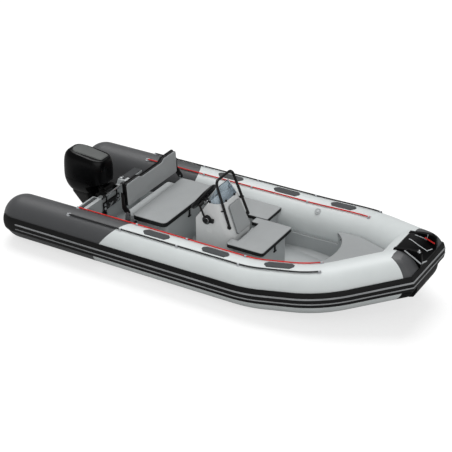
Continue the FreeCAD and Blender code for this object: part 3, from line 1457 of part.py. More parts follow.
def build_engine():
    """Brackets, cowl, engine block, leg, gear case and propeller."""
    build_brackets()
    steer = size("steer_x")
    low = size("cowl_low")
    wall = size("cowl_wall")
    inside = ruled_solid(cowl_levels(wall))
    below = slab_between(-FAR, low)
    deck_aft = size("cowl_aft_x") + size("deck_aft_in") + 2 * wall
    deck_fore = size("cowl_fore_x") - size("deck_fore_in") - 2 * wall
    deck_half = size("cowl_half") - size("deck_side_in") - 2 * wall
    opening = Part.Face(rounded_box_wire(deck_aft, deck_fore, deck_half, 50, low - 1)).extrude(Z_AXIS * 60)
    inside = inside.common(slab_between(low + wall, FAR)).cut(swept_chin(wall))
    cowl = ruled_solid(cowl_levels(0)).cut(swept_chin(0)).cut(inside).cut(opening)
    feature("cowl", cowl.cut(below))
    top = size("cowl_top")
    cap_aft = size("cowl_aft_x") + size("cap_back")
    cap_fore = size("cowl_fore_x") - size("cap_front")
    cap_half = size("cap_half")
    step = size("cap_thick")
    cap = cap_wire(cap_aft, cap_fore, cap_half, top)
    crown = cap_wire(cap_aft + step, cap_fore - step, cap_half - step, top + step)
    feature("cowl_top_panel", ruled_solid([cap, crown]))

    fore = size("leg_fore_x")
    aft = size("leg_aft_x")
    half = size("leg_half")
    plate_z = size("plate_z")
    lip = (deck_aft - size("deck_lip_aft"), deck_half + size("deck_lip_side"), size("deck_round"))
    lip_z = low - size("deck_lip_deep")
    leg_levels = (
        rounded_box_wire(aft, fore, half, half * 0.9, plate_z),
        rounded_box_wire(aft - 20, fore, half + 4, half * 0.9, size("swivel_low") - 10),
        rounded_box_wire(lip[0], fore, lip[1], lip[2], lip_z),
    )
    leg = ruled_solid(leg_levels)
    flange = Part.Face(rounded_box_wire(lip[0], deck_fore + wall, lip[1], lip[2], lip_z))
    flange = flange.extrude(Z_AXIS * size("deck_lip_deep"))
    seat = Part.Face(rounded_box_wire(deck_aft + 4, deck_fore - 4, deck_half - 4, 46, low))
    seat = seat.extrude(Z_AXIS * wall)
    pivots = []
    for z in (lip_z, size("swivel_low") - 34):
        arm = block(Vector(fore - 30, -34, z), Vector(steer, 34, z + 24))
        knuckle = Part.makeCylinder(34, 24, Vector(steer, 0, z), Z_AXIS)
        pivots.append(arm.fuse(knuckle))
    post = Part.makeCylinder(size("swivel_radius") * 0.45, low - size("swivel_low") - 10,
                             Vector(steer, 0, size("swivel_low") - 20), Z_AXIS)
    feature("leg", fuse_all([leg, flange, seat, post] + pivots))

    long = size("powerhead_long")
    wide = size("powerhead_wide")
    middle = (deck_aft + deck_fore) / 2
    seat_z = low + wall
    upper = block(Vector(middle - long / 2, -wide / 2, seat_z + 60),
                  Vector(middle + long / 2, wide / 2, seat_z + 60 + size("powerhead_high")))
    lower = block(Vector(deck_aft + 20, 20 - deck_half, seat_z),
                  Vector(deck_fore - 20, deck_half - 20, seat_z + 60))
    feature("engine_block", upper.fuse(lower).removeSplitter().cut(swept_chin(2 * wall)))
    build_gear_case()
    build_propeller()


def build_brackets():
    """Clamp bracket on the transom, and the swivel bracket with the steering cylinder."""
    tilt = Vector(size("tilt_x"), 0, size("tilt_z"))
    outer = size("clamp_half")
    plate = size("clamp_thick")
    radius = size("tilt_tube")
    thick = size("transom_thick")
    notch = size("notch_top")
    low = size("clamp_low")
    bar_x = size("cylinder_x")
    bar_z = size("cylinder_z")
    bar_radius = size("cylinder_radius")
    profile = [
        (-40, low), (0, low), (0, notch), (thick, notch), (thick, notch - 70),
        (thick + 26, notch - 60), (thick + 26, notch + 6), (bar_x, bar_z - bar_radius - 3),
        (bar_x, bar_z + bar_radius), (tilt.x + 2.4 * radius, bar_z + bar_radius + 6),
        (tilt.x, tilt.z + 2 * radius), (tilt.x - 2 * radius, tilt.z + radius), (-40, notch),
    ]
    side = prism([Vector(x, -outer, z) for x, z in profile], Y_AXIS * plate)
    bar = Part.makeCylinder(radius, 2 * outer, Vector(tilt.x, -outer, tilt.z), Y_AXIS)
    bridge = block(Vector(-40, -outer, low), Vector(-26, outer, low + 40))
    clamp = fuse_all([side, mirrored(side), bar, bridge])
    pad = doc.getObject("engine_mount_pad").Shape
    reach = size("cylinder_half")
    cylinder = Part.makeCylinder(bar_radius, 2 * reach, Vector(bar_x, -reach, bar_z), Y_AXIS)
    feature("clamp_bracket", clamp.cut([pad, cylinder]))
    feature("steering_cylinder", cylinder)

    inner = outer - plate - size("clamp_gap")
    steer = size("steer_x")
    swivel = size("swivel_radius")
    low = size("swivel_low")
    top = size("cowl_low") - 32
    barrel = Part.makeCylinder(swivel, top - low, Vector(steer, 0, low), Z_AXIS)
    web = [
        (steer, low + 20), (steer + 30, low + 10), (-52, low + 80), (-52, notch - 10), (-10, notch + 14),
        (tilt.x + 26, notch + 19), (tilt.x + 26, tilt.z + 24), (tilt.x - 26, tilt.z + 24),
        (steer, top),
    ]
    cheek = prism([Vector(x, -inner, z) for x, z in web], Y_AXIS * (2 * inner))
    for side_y in (-inner - 1, swivel):
        beside = Vector(steer - 90, side_y, low - 10)
        cheek = cheek.cut(block(beside, Vector(steer + 64, side_y + inner + 1 - swivel, FAR)))
    bore = Part.makeCylinder(swivel * 0.45 + size("pivot_fit"), FAR, Vector(steer, 0, 0), Z_AXIS)
    tube = Part.makeCylinder(radius + size("pivot_fit"), 2 * FAR, Vector(tilt.x, -FAR, tilt.z), Y_AXIS)
    above_cowl = block(Vector(-FAR, -FAR, top), Vector(-60, FAR, FAR))
    feature("swivel_bracket", fuse_all([barrel, cheek]).cut(bore).cut(tube).cut(above_cowl))


def build_gear_case():
    """Anti-ventilation plate, strut, torpedo and skeg."""
    fore = size("leg_fore_x")
    aft = size("leg_aft_x")
    plate_z = size("plate_z")
    thick = size("plate_thick")
    shaft = size("shaft_z")
    radius = size("torpedo_radius")
    plate = Part.Face(rounded_box_wire(aft - 130, fore + 30, size("plate_half"), 60, plate_z - thick))
    plate = plate.extrude(Z_AXIS * thick)
    strut = Part.Face(rounded_box_wire(aft + 10, fore + 30, 28, 26, shaft))
    strut = strut.extrude(Z_AXIS * (plate_z - thick - shaft))
    nose_x = size("torpedo_fore_x")
    tail_x = size("torpedo_aft_x")
    line = [Vector(tail_x, 0, shaft + radius * 0.86), Vector(tail_x + 40, 0, shaft + radius * 0.96),
            Vector(tail_x + 120, 0, shaft + radius), Vector(nose_x - 140, 0, shaft + radius)]
    nose = Vector(nose_x, 0, shaft + radius * 0.16)
    arc = Part.Arc(line[-1], Vector(nose_x - 42, 0, shaft + radius * 0.72), nose).toShape()
    edges = [Part.LineSegment(a, b).toShape() for a, b in zip(line, line[1:])] + [arc]
    round_trip = [nose, Vector(nose_x, 0, shaft), Vector(tail_x, 0, shaft), line[0]]
    edges += [Part.LineSegment(a, b).toShape() for a, b in zip(round_trip, round_trip[1:])]
    torpedo = Part.Face(Part.Wire(edges)).revolve(Vector(0, 0, shaft), X_AXIS, 360)
    skeg_z = size("skeg_z")
    skeg = prism([Vector(fore + 40, -6, shaft - radius + 12), Vector(aft + 10, -6, shaft - radius + 12),
                  Vector(aft - 10, -6, skeg_z), Vector(aft + 60, -6, skeg_z)], Y_AXIS * 12)
    reach = size("propeller_long") + 2 * size("propeller_gap")
    drive = Part.makeCylinder(size("shaft_radius"), reach, Vector(tail_x - reach, 0, shaft), X_AXIS)
    feature("gear_case", fuse_all([plate, strut, torpedo, skeg, drive]))


def build_propeller():
    """A hub with three pitched blades."""
    shaft = size("shaft_z")
    hub = size("propeller_hub")
    long = size("propeller_long")
    front = size("torpedo_aft_x") - size("propeller_gap")
    root = Vector(front - long, 0, shaft)
    barrel = Part.makeCone(hub * 0.8, hub, long, root, X_AXIS)
    reach = size("propeller_radius")
    thick = size("blade_thick")
    middle = Vector(front - long / 2, 0, shaft)
    blades = []
    for number in range(3):
        sections = []
        stations = ((hub * 0.6, 38, 58), (hub + 0.4 * (reach - hub), 52, 44),
                    (hub + 0.75 * (reach - hub), 46, 34), (reach * 0.97, 22, 28))
        for radius, half_chord, pitch in stations:
            turn = math.radians(pitch)
            chord = Vector(math.sin(turn), math.cos(turn), 0)
            across = Vector(math.cos(turn), -math.sin(turn), 0)
            tip = thick * (1.2 - radius / reach) / 2 + 1
            centre = middle + Z_AXIS * radius
            ring = [centre + chord * half_chord, centre + across * tip,
                    centre - chord * half_chord, centre - across * tip]
            sections.append(Part.makePolygon(ring + [ring[0]]))
        blade = ruled_solid(sections)
        blade.rotate(middle, X_AXIS, 120 * number)
        blades.append(blade)
    bore_radius = size("shaft_radius") + size("pivot_fit")
    bore = Part.makeCylinder(bore_radius, 2 * long, root - X_AXIS * (long / 2), X_AXIS)
    feature("propeller", fuse_all([barrel] + blades).cut(bore))


def build_all():
    """Every sub-part of the boat."""
    build_tubes()
    build_strake()
    build_lifelines()
    build_grip_pads()
    build_valves()
    build_hull()
    build_bow_cushion()
    build_transom()
    build_eyes()
    build_bow_step()
    build_mount_pad()
    build_bench()
    build_backrest()
    build_console()
    build_wheel()
    build_throttle()
    build_front_seat()
    build_side_seat()
    build_latches()
    build_engine()


build_all()
doc.recompute()

faulty = [item.Label for item in doc.Objects if "Invalid" in item.State or "Error" in item.State]
faulty += [item.Label for item in SUBPARTS
           if item.Shape.isNull() or not item.Shape.isValid() or not item.Shape.Solids]
if faulty:
    raise RuntimeError("no valid solid: " + ", ".join(faulty))

os.makedirs("parts", exist_ok=True)
for item in SUBPARTS:
    item.Shape.exportStep("parts/%s.step" % item.Label)
    box = item.Shape.BoundBox
    print("%-22s %2d solids  x %6.0f %6.0f  y %6.0f %6.0f  z %6.0f %6.0f" % (
        item.Label, len(item.Shape.Solids), box.XMin, box.XMax, box.YMin, box.YMax, box.ZMin, box.ZMax))
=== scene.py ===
"""Looks of a rigid inflatable boat with a console and an outboard engine.

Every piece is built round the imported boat: metres, +X to the bow, +Y to port, +Z up,
with the origin on the waterline at the aft face of the transom.
"""

import json
import logging
import math
from collections.abc import Callable, Iterable
from dataclasses import dataclass, field
from enum import Enum

import bpy
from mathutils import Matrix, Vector

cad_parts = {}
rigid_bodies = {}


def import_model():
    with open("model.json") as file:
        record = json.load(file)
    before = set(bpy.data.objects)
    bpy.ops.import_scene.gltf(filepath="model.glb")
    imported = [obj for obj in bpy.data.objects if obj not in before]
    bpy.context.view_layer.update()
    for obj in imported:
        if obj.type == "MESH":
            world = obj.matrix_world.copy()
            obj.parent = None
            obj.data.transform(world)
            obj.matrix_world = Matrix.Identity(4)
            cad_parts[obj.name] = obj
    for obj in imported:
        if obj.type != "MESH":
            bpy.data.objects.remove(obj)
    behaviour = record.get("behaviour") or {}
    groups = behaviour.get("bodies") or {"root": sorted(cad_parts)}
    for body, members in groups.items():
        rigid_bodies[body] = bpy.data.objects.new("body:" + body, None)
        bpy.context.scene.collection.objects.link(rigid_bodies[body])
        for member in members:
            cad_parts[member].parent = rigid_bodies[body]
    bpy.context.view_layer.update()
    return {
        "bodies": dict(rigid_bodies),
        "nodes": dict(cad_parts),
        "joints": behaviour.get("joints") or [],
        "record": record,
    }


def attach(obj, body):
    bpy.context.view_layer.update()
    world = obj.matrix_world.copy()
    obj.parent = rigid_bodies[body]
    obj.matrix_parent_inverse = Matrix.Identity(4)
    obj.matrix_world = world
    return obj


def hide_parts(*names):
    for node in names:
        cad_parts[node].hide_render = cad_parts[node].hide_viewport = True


LOG = logging.getLogger("boat")

Colour = tuple[float, float, float]
Point = tuple[float, float, float]
Test = Callable[[Vector], bool]

ALONG_X: Point = (1, 0, 0)
ALONG_Y: Point = (0, 1, 0)
ALONG_Z: Point = (0, 0, 1)

MERGE_DISTANCE = 0.00001
FLAT_DEGREES = 1.0
BEVEL_SEGMENTS = 3
COAT_ROUGHNESS = 0.08
LEAST_ROUGHNESS = 0.02
CLOUD_SCALE = 6.0
CLOUD_DETAIL = 4.0
CLOUD_LOW = 0.35
CLOUD_HIGH = 0.65
BUMP_STRENGTH = 0.6
WAVE_DISTORTION = 0.4
NOISE_DETAIL = 6.0


def srgb(red: int, green: int, blue: int) -> Colour:
    """A colour read from a screen, as the linear values that a shader takes.

    Args:
        red: Red, 0 to 255.
        green: Green, 0 to 255.
        blue: Blue, 0 to 255.

    Returns:
        The linear colour.
    """
    def linear(value: int) -> float:
        share = value / 255
        return share / 12.92 if share <= 0.04045 else ((share + 0.055) / 1.055) ** 2.4

    return linear(red), linear(green), linear(blue)


class Grain(Enum):
    """Small relief of a surface."""

    FABRIC = "coated fabric"
    GEL = "gel coat"
    VINYL = "upholstery vinyl"
    RUBBER = "moulded rubber"
    DIAMOND = "diamond tread"
    BRAID = "braided rope"
    BRUSHED = "brushed metal"
    CAST = "cast metal"
    PAINT = "sprayed paint"
    MOULDED = "moulded plastic"


@dataclass(frozen=True)
class Relief:
    """How a grain is drawn: pattern size, height, and how much gloss and colour vary."""

    scale: float
    height: float
    gloss_spread: float
    shade_spread: float


RELIEFS: dict[Grain, Relief] = {
    Grain.FABRIC: Relief(900.0, 0.00010, 0.04, 0.015),
    Grain.GEL: Relief(14.0, 0.00004, 0.05, 0.015),
    Grain.VINYL: Relief(420.0, 0.00022, 0.08, 0.02),
    Grain.RUBBER: Relief(300.0, 0.00012, 0.10, 0.10),
    Grain.DIAMOND: Relief(95.0, 0.00060, 0.10, 0.10),
    Grain.BRAID: Relief(260.0, 0.00080, 0.10, 0.18),
    Grain.BRUSHED: Relief(160.0, 0.00006, 0.14, 0.06),
    Grain.CAST: Relief(220.0, 0.00030, 0.12, 0.08),
    Grain.PAINT: Relief(60.0, 0.00003, 0.05, 0.04),
    Grain.MOULDED: Relief(500.0, 0.00010, 0.10, 0.06),
}


@dataclass(frozen=True)
class Finish:
    """The finish of a surface, drawn by shader nodes on Object coordinates.

    Args:
        name: Name of the finish, after look_ in the material's name.
        colour: Main colour.
        roughness: Main roughness.
        grain: Small relief.
        metallic: 1 for bare metal.
        coat: Weight of a clear coat.
        clear: Share of light that passes, for acrylic.
        sheen: Weight of a fabric's sheen.
        shine: Strength of the mirror-like part.
    """

    name: str
    colour: Colour
    roughness: float
    grain: Grain
    metallic: float = 0.0
    coat: float = 0.0
    clear: float = 0.0
    sheen: float = 0.0
    shine: float = 0.5

    def material(self) -> bpy.types.Material:
        """The material, made once.

        Returns:
            The material with its nodes.
        """
        title = "look_" + self.name
        found = bpy.data.materials.get(title)
        if found:
            return found
        material = bpy.data.materials.new(title)
        material.use_nodes = True
        tree = material.node_tree
        shader = tree.nodes["Principled BSDF"]
        shader.inputs["Metallic"].default_value = self.metallic
        shader.inputs["Coat Weight"].default_value = self.coat
        shader.inputs["Coat Roughness"].default_value = COAT_ROUGHNESS
        shader.inputs["Sheen Weight"].default_value = self.sheen
        shader.inputs["Specular IOR Level"].default_value = self.shine
        shader.inputs["Transmission Weight"].default_value = self.clear
        place = tree.nodes.new("ShaderNodeTexCoord").outputs["Object"]
        self.shade(tree, shader, place)
        self.emboss(tree, shader, place)
        return material

    def shade(self, tree: bpy.types.NodeTree, shader: bpy.types.Node, place: bpy.types.NodeSocket) -> None:
        """Colour and gloss that vary softly over the surface.

        Args:
            tree: The material's nodes.
            shader: Its surface shader.
            place: Coordinates to read.
        """
        relief = RELIEFS[self.grain]
        clouds = tree.nodes.new("ShaderNodeTexNoise")
        clouds.inputs["Scale"].default_value = CLOUD_SCALE
        clouds.inputs["Detail"].default_value = CLOUD_DETAIL
        tree.links.new(place, clouds.inputs["Vector"])
        ramp = tree.nodes.new("ShaderNodeValToRGB")
        low, high = ramp.color_ramp.elements
        low.position = CLOUD_LOW
        high.position = CLOUD_HIGH
        low.color = (*(value * (1 - relief.shade_spread) for value in self.colour), 1)
        high.color = (*(min(1.0, value * (1 + relief.shade_spread)) for value in self.colour), 1)
        tree.links.new(clouds.outputs["Fac"], ramp.inputs["Fac"])
        tree.links.new(ramp.outputs["Color"], shader.inputs["Base Color"])
        gloss = tree.nodes.new("ShaderNodeMapRange")
        gloss.inputs["To Min"].default_value = max(LEAST_ROUGHNESS, self.roughness - relief.gloss_spread)
        gloss.inputs["To Max"].default_value = min(1.0, self.roughness + relief.gloss_spread)
        tree.links.new(clouds.outputs["Fac"], gloss.inputs["Value"])
        tree.links.new(gloss.outputs["Result"], shader.inputs["Roughness"])

    def emboss(self, tree: bpy.types.NodeTree, shader: bpy.types.Node, place: bpy.types.NodeSocket) -> None:
        """Relief of the grain as a bump.

        Args:
            tree: The material's nodes.
            shader: Its surface shader.
            place: Coordinates to read.
        """
        relief = RELIEFS[self.grain]
        bump = tree.nodes.new("ShaderNodeBump")
        bump.inputs["Strength"].default_value = BUMP_STRENGTH
        bump.inputs["Distance"].default_value = relief.height
        if self.grain in (Grain.VINYL, Grain.CAST, Grain.MOULDED, Grain.RUBBER):
            pattern = tree.nodes.new("ShaderNodeTexVoronoi")
            height = pattern.outputs["Distance"]
        elif self.grain in (Grain.FABRIC, Grain.DIAMOND, Grain.BRAID):
            pattern = tree.nodes.new("ShaderNodeTexWave")
            pattern.wave_type = "BANDS"
            pattern.bands_direction = "DIAGONAL"
            pattern.inputs["Distortion"].default_value = WAVE_DISTORTION
            height = pattern.outputs["Fac"]
        else:
            pattern = tree.nodes.new("ShaderNodeTexNoise")
            pattern.inputs["Detail"].default_value = NOISE_DETAIL
            height = pattern.outputs["Fac"]
        pattern.inputs["Scale"].default_value = relief.scale
        tree.links.new(place, pattern.inputs["Vector"])
        tree.links.new(height, bump.inputs["Height"])
        tree.links.new(bump.outputs["Normal"], shader.inputs["Normal"])


TUBE_CHARCOAL = Finish("tube_charcoal_fabric", srgb(66, 67, 69), 0.46, Grain.FABRIC, sheen=0.1)
TUBE_LIGHT = Finish("tube_light_fabric", srgb(203, 208, 208), 0.42, Grain.FABRIC, sheen=0.1)
STRAKE = Finish("strake_rubber", srgb(10, 10, 11), 0.6, Grain.RUBBER, shine=0.3)
STRIPE = Finish("stripe_rubber", srgb(150, 152, 154), 0.5, Grain.RUBBER)
GRIP = Finish("grip_pad_rubber", srgb(62, 64, 66), 0.75, Grain.DIAMOND)
RED_ROPE = Finish("red_rope", srgb(206, 22, 16), 0.7, Grain.BRAID)
BLACK_ROPE = Finish("black_rope", srgb(34, 34, 36), 0.7, Grain.BRAID)
CLIP = Finish("clip_plastic", srgb(180, 183, 186), 0.35, Grain.MOULDED)
VALVE = Finish("valve_plastic", srgb(190, 194, 195), 0.4, Grain.MOULDED)
HULL = Finish("hull_gel", srgb(196, 198, 198), 0.22, Grain.GEL, coat=0.3)
DECK = Finish("deck_gel", srgb(170, 174, 175), 0.38, Grain.GEL, coat=0.1)
BLACK_MOULDING = Finish("black_moulding", srgb(12, 12, 13), 0.4, Grain.MOULDED, shine=0.3)
CONSOLE = Finish("console_gel", srgb(208, 210, 210), 0.26, Grain.GEL, coat=0.3)
STEP_BLACK = Finish("step_moulding", srgb(3, 3, 4), 0.45, Grain.MOULDED, shine=0.12)
STRIP = Finish("anti_slip_strip", srgb(58, 60, 62), 0.85, Grain.DIAMOND)
STEEL = Finish("polished_steel", srgb(196, 198, 200), 0.22, Grain.BRUSHED, metallic=1.0)
CUSHION = Finish("cushion_vinyl", srgb(146, 149, 150), 0.5, Grain.VINYL, sheen=0.05)
CUSHION_BAND = Finish("cushion_band", srgb(12, 12, 13), 0.55, Grain.VINYL, shine=0.3)
FRAME_BLACK = Finish("frame_moulding", srgb(9, 9, 10), 0.4, Grain.MOULDED, shine=0.3)
SCREEN = Finish("tinted_acrylic", srgb(188, 202, 212), 0.04, Grain.PAINT, clear=0.88)
RAIL = Finish("rail_enamel", srgb(8, 8, 9), 0.34, Grain.PAINT, shine=0.4)
PANEL = Finish("instrument_panel", srgb(36, 38, 40), 0.3, Grain.MOULDED)
BRACKET = Finish("bracket_enamel", srgb(6, 6, 7), 0.34, Grain.PAINT, shine=0.3)
CHROME = Finish("bright_chrome", srgb(214, 216, 218), 0.08, Grain.BRUSHED, metallic=1.0)
COWL = Finish("cowl_enamel", srgb(3, 3, 4), 0.28, Grain.PAINT, shine=0.2)
# Grey top panel of the cowl: partly a grey accent panel, partly a painted reflection of the sky on the
# glossy black top.
COWL_PANEL_AND_REFLECTION = Finish("cowl_panel", srgb(92, 94, 93), 0.5, Grain.PAINT, shine=0.15)
CAST = Finish("cast_engine", srgb(70, 72, 74), 0.6, Grain.CAST, metallic=0.7)
LEG = Finish("leg_enamel", srgb(5, 5, 6), 0.28, Grain.PAINT, shine=0.4)
PROPELLER = Finish("propeller_enamel", srgb(40, 42, 44), 0.3, Grain.PAINT, coat=0.4)
TRIM = Finish("light_trim", srgb(176, 179, 181), 0.4, Grain.RUBBER)
DIAL = Finish("dial_face", srgb(14, 15, 17), 0.12, Grain.PAINT, coat=0.5)
HOSE = Finish("black_hose", srgb(18, 18, 19), 0.5, Grain.RUBBER)

CAD_FINISHES: dict[str, Finish] = {
    "hull_bottom": HULL, "floor": DECK, "side_deck_port": DECK, "side_deck_starboard": DECK,
    "bow_locker": DECK, "transom": DECK, "transom_strips": STRIP, "stern_eyes": STEEL,
    "bow_eye": STEEL, "tube_aft_port": TUBE_CHARCOAL, "tube_aft_starboard": TUBE_CHARCOAL,
    "tube_side_port": TUBE_LIGHT, "tube_side_starboard": TUBE_LIGHT, "tube_bow": TUBE_CHARCOAL,
    "rubbing_strake": STRAKE, "strake_stripes": STRIPE, "tube_grip_pads": GRIP,
    "lifeline_inner": RED_ROPE, "lifeline_outer": BLACK_ROPE, "lifeline_clips": CLIP,
    "inflation_valves": VALVE, "bow_step": STEP_BLACK, "bow_grab_straps": RED_ROPE,
    "driver_bench": DECK, "backrest_shell": FRAME_BLACK, "backrest_brackets": STEEL,
    "console": CONSOLE, "instrument_panel": PANEL, "windscreen": SCREEN, "console_rail": RAIL,
    "throttle": FRAME_BLACK, "front_seat_base": DECK, "front_lid": DECK, "side_seat_base": DECK,
    "lid_latches": FRAME_BLACK, "clamp_bracket": BRACKET, "swivel_bracket": BRACKET,
    "steering_cylinder": CHROME, "engine_block": CAST, "leg": LEG, "gear_case": LEG,
    "propeller": PROPELLER,
}


@dataclass(frozen=True)
class Disc:
    """A round disc or rod: its radius, length along its axis, number of sides and radius of its edges."""

    radius: float
    deep: float
    sides: int
    edge: float


class Hands:
    """Work on one mesh at a time, as by hand."""

    @staticmethod
    def clear() -> None:
        """Nothing is selected and nothing is active."""
        for thing in bpy.context.selected_objects:
            thing.select_set(False)
        bpy.context.view_layer.objects.active = None

    @staticmethod
    def take(piece: bpy.types.Object) -> None:
        """Only this piece is selected and active."""
        Hands.clear()
        piece.select_set(True)
        bpy.context.view_layer.objects.active = piece

    @staticmethod
    def edit(piece: bpy.types.Object) -> None:
        """Edit mode on this piece alone, with all of its mesh selected."""
        Hands.take(piece)
        bpy.ops.object.mode_set(mode="EDIT")
        bpy.ops.mesh.select_all(action="SELECT")

    @staticmethod
    def leave() -> None:
        """Back to object mode."""
        bpy.ops.object.mode_set(mode="OBJECT")

    @staticmethod
    def cut(place: Iterable[float], facing: Iterable[float], **sides: bool) -> None:
        """Cut the mesh in edit mode by a plane.

        Args:
            place: A point of the plane.
            facing: The plane's normal.
            sides: Which side is cleared, and whether the cut is filled.
        """
        bpy.ops.mesh.select_all(action="SELECT")
        bpy.ops.mesh.bisect(plane_co=place, plane_no=facing, **sides)

    @staticmethod
    def copy_of(node: bpy.types.Object, name: str) -> bpy.types.Object:
        """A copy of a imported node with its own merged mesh.

        Args:
            node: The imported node.
            name: Name of the copy.

        Returns:
            The copy.
        """
        piece = bpy.data.objects.new(name, node.data.copy())
        bpy.context.scene.collection.objects.link(piece)
        Hands.edit(piece)
        bpy.ops.mesh.remove_doubles(threshold=MERGE_DISTANCE)
        bpy.ops.mesh.customdata_custom_splitnormals_clear()
        Hands.leave()
        return piece

    @staticmethod
    def smooth(piece: bpy.types.Object, degrees: float = 30.0) -> None:
        """Smooth shading up to an angle between faces."""
        Hands.take(piece)
        bpy.ops.object.shade_smooth_by_angle(angle=math.radians(degrees))

    @staticmethod
    def choose(piece: bpy.types.Object, test: Test) -> None:
        """Edit mode with the vertices selected that pass a test.

        Args:
            piece: The piece.
            test: Says whether a vertex at a place is chosen.
        """
        Hands.take(piece)
        bpy.ops.object.mode_set(mode="EDIT")
        bpy.ops.mesh.select_mode(type="VERT")
        bpy.ops.mesh.select_all(action="DESELECT")
        Hands.leave()
        for vertex in piece.data.vertices:
            vertex.select = test(vertex.co)
        bpy.ops.object.mode_set(mode="EDIT")

    @staticmethod
    def apply(piece: bpy.types.Object, kind: str, **values: object) -> None:
        """Add a modifier with these values and apply it."""
        Hands.take(piece)
        bpy.ops.object.modifier_add(type=kind)
        modifier = piece.modifiers[-1]
        for name, value in values.items():
            setattr(modifier, name, value)
        bpy.ops.object.modifier_apply(modifier=modifier.name)

    @staticmethod
    def round_edges(piece: bpy.types.Object, width: float, degrees: float = 50.0) -> None:
        """Round the edges where faces meet at more than an angle."""
        Hands.apply(piece, "BEVEL", width=width, segments=BEVEL_SEGMENTS,
                    limit_method="ANGLE", angle_limit=math.radians(degrees))

    @staticmethod
    def soften(piece: bpy.types.Object, width: float) -> None:
        """Join flat triangles and round the edges between flat faces."""
        Hands.edit(piece)
        bpy.ops.mesh.dissolve_limited(angle_limit=math.radians(FLAT_DEGREES))
        Hands.leave()
        Hands.round_edges(piece, width, degrees=40)
        Hands.apply(piece, "TRIANGULATE")

    @staticmethod
    def settle(piece: bpy.types.Object, name: str) -> bpy.types.Object:
        """Name a new piece and put its place into its mesh."""
        piece.name = name
        Hands.take(piece)
        bpy.ops.object.transform_apply(location=True, rotation=True, scale=True)
        return piece

    @staticmethod
    def turned(along: Iterable[float]) -> Point:
        """Turn that lays a piece's own Z along a direction."""
        return tuple(Vector(along).to_track_quat("Z", "Y").to_euler())

    @staticmethod
    def drum(name: str, disc: Disc, place: Iterable[float], along: Iterable[float]) -> bpy.types.Object:
        """A round disc or rod with a rounded edge.

        Args:
            name: Name of the piece.
            disc: Its sizes.
            place: Its middle.
            along: Its axis.

        Returns:
            The piece.
        """
        Hands.clear()
        bpy.ops.mesh.primitive_cylinder_add(vertices=disc.sides, radius=disc.radius, depth=disc.deep,
                                            location=tuple(place), rotation=Hands.turned(along))
        piece = Hands.settle(bpy.context.object, name)
        Hands.round_edges(piece, disc.edge)
        return piece

    @staticmethod
    def ring(name: str, radius: float, thick: float, place: Iterable[float], along: Iterable[float],
             sides: int = 56) -> bpy.types.Object:
        """A round ring.

        Args:
            name: Name of the piece.
            radius: Radius of its centre line.
            thick: Radius of its section.
            place: Its middle.
            along: Its axis.
            sides: Number of segments round it.

        Returns:
            The piece.
        """
        Hands.clear()
        bpy.ops.mesh.primitive_torus_add(
            major_radius=radius, minor_radius=thick, major_segments=sides, minor_segments=16,
            location=tuple(place), rotation=Hands.turned(along))
        return Hands.settle(bpy.context.object, name)

    @staticmethod
    def brick(name: str, low: Iterable[float], high: Iterable[float], edge: float = 0.0) -> bpy.types.Object:
        """A box between two corners, with optional rounded edges.

        Args:
            name: Name of the piece.
            low: Its lowest corner.
            high: Its highest corner.
            edge: Radius of its edges.

        Returns:
            The piece.
        """
        low, high = Vector(low), Vector(high)
        Hands.clear()
        bpy.ops.mesh.primitive_cube_add(size=1, location=(low + high) / 2, scale=high - low)
        piece = Hands.settle(bpy.context.object, name)
        if edge:
            Hands.round_edges(piece, edge)
        return piece

    @staticmethod
    def wedge(name: str, low: Point, high: Point, rise: float) -> bpy.types.Object:
        """A box between two corners, with its upper fore edge lifted.

        Args:
            name: Name of the piece.
            low: Its lowest corner.
            high: Its highest corner before the lift.
            rise: How far that edge is lifted.

        Returns:
            The piece.
        """
        piece = Hands.brick(name, low, high)
        middle = (Vector(low) + Vector(high)) / 2
        Hands.choose(piece, lambda place: place.x > middle.x and place.z > middle.z)
        bpy.ops.transform.translate(value=(0, 0, rise))
        Hands.leave()
        return piece

    @staticmethod
    def pipe(name: str, points: Iterable[Iterable[float]], radius: float,
             soft: bool = True) -> bpy.types.Object:
        """A round bar or hose along a line of points.

        Args:
            name: Name of the piece.
            points: The points of its centre line.
            radius: Its radius.
            soft: Bend smoothly through the points.

        Returns:
            The piece.
        """
        places = [Vector(point) for point in points]
        Hands.clear()
        bpy.ops.curve.primitive_nurbs_path_add(location=(0, 0, 0))
        line = bpy.context.object.data
        line.splines.clear()
        spline = line.splines.new("NURBS" if soft else "POLY")
        spline.points.add(len(places) - 1)
        for point, place in zip(spline.points, places):
            point.co = (*place, 1.0)
        spline.use_endpoint_u = True
        if soft:
            spline.order_u = min(4, len(places))
            spline.resolution_u = 8
        line.bevel_depth = radius
        line.bevel_resolution = 4
        line.use_fill_caps = True
        bpy.ops.object.convert(target="MESH")
        piece = Hands.settle(bpy.context.object, name)
        Hands.edit(piece)
        bpy.ops.mesh.remove_doubles(threshold=MERGE_DISTANCE)
        bpy.ops.mesh.normals_make_consistent(inside=False)
        Hands.leave()
        return piece

    @staticmethod
    def joined(name: str, pieces: list[bpy.types.Object]) -> bpy.types.Object:
        """Several pieces made one object."""
        Hands.clear()
        for piece in pieces:
            piece.select_set(True)
        bpy.context.view_layer.objects.active = pieces[0]
        bpy.ops.object.join()
        pieces[0].name = name
        return pieces[0]

    @staticmethod
    def dress(piece: bpy.types.Object, finish: Finish, body: str, degrees: float = 35.0) -> bpy.types.Object:
        """Give a new piece its finish and its body.

        Args:
            piece: The piece.
            finish: Its finish.
            body: The body that it rides on.
            degrees: Largest angle between faces that is shaded smooth.

        Returns:
            The piece.
        """
        Hands.smooth(piece, degrees)
        piece.data.materials.clear()
        piece.data.materials.append(finish.material())
        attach(piece, body)
        LOG.info("built %s", piece.name)
        return piece


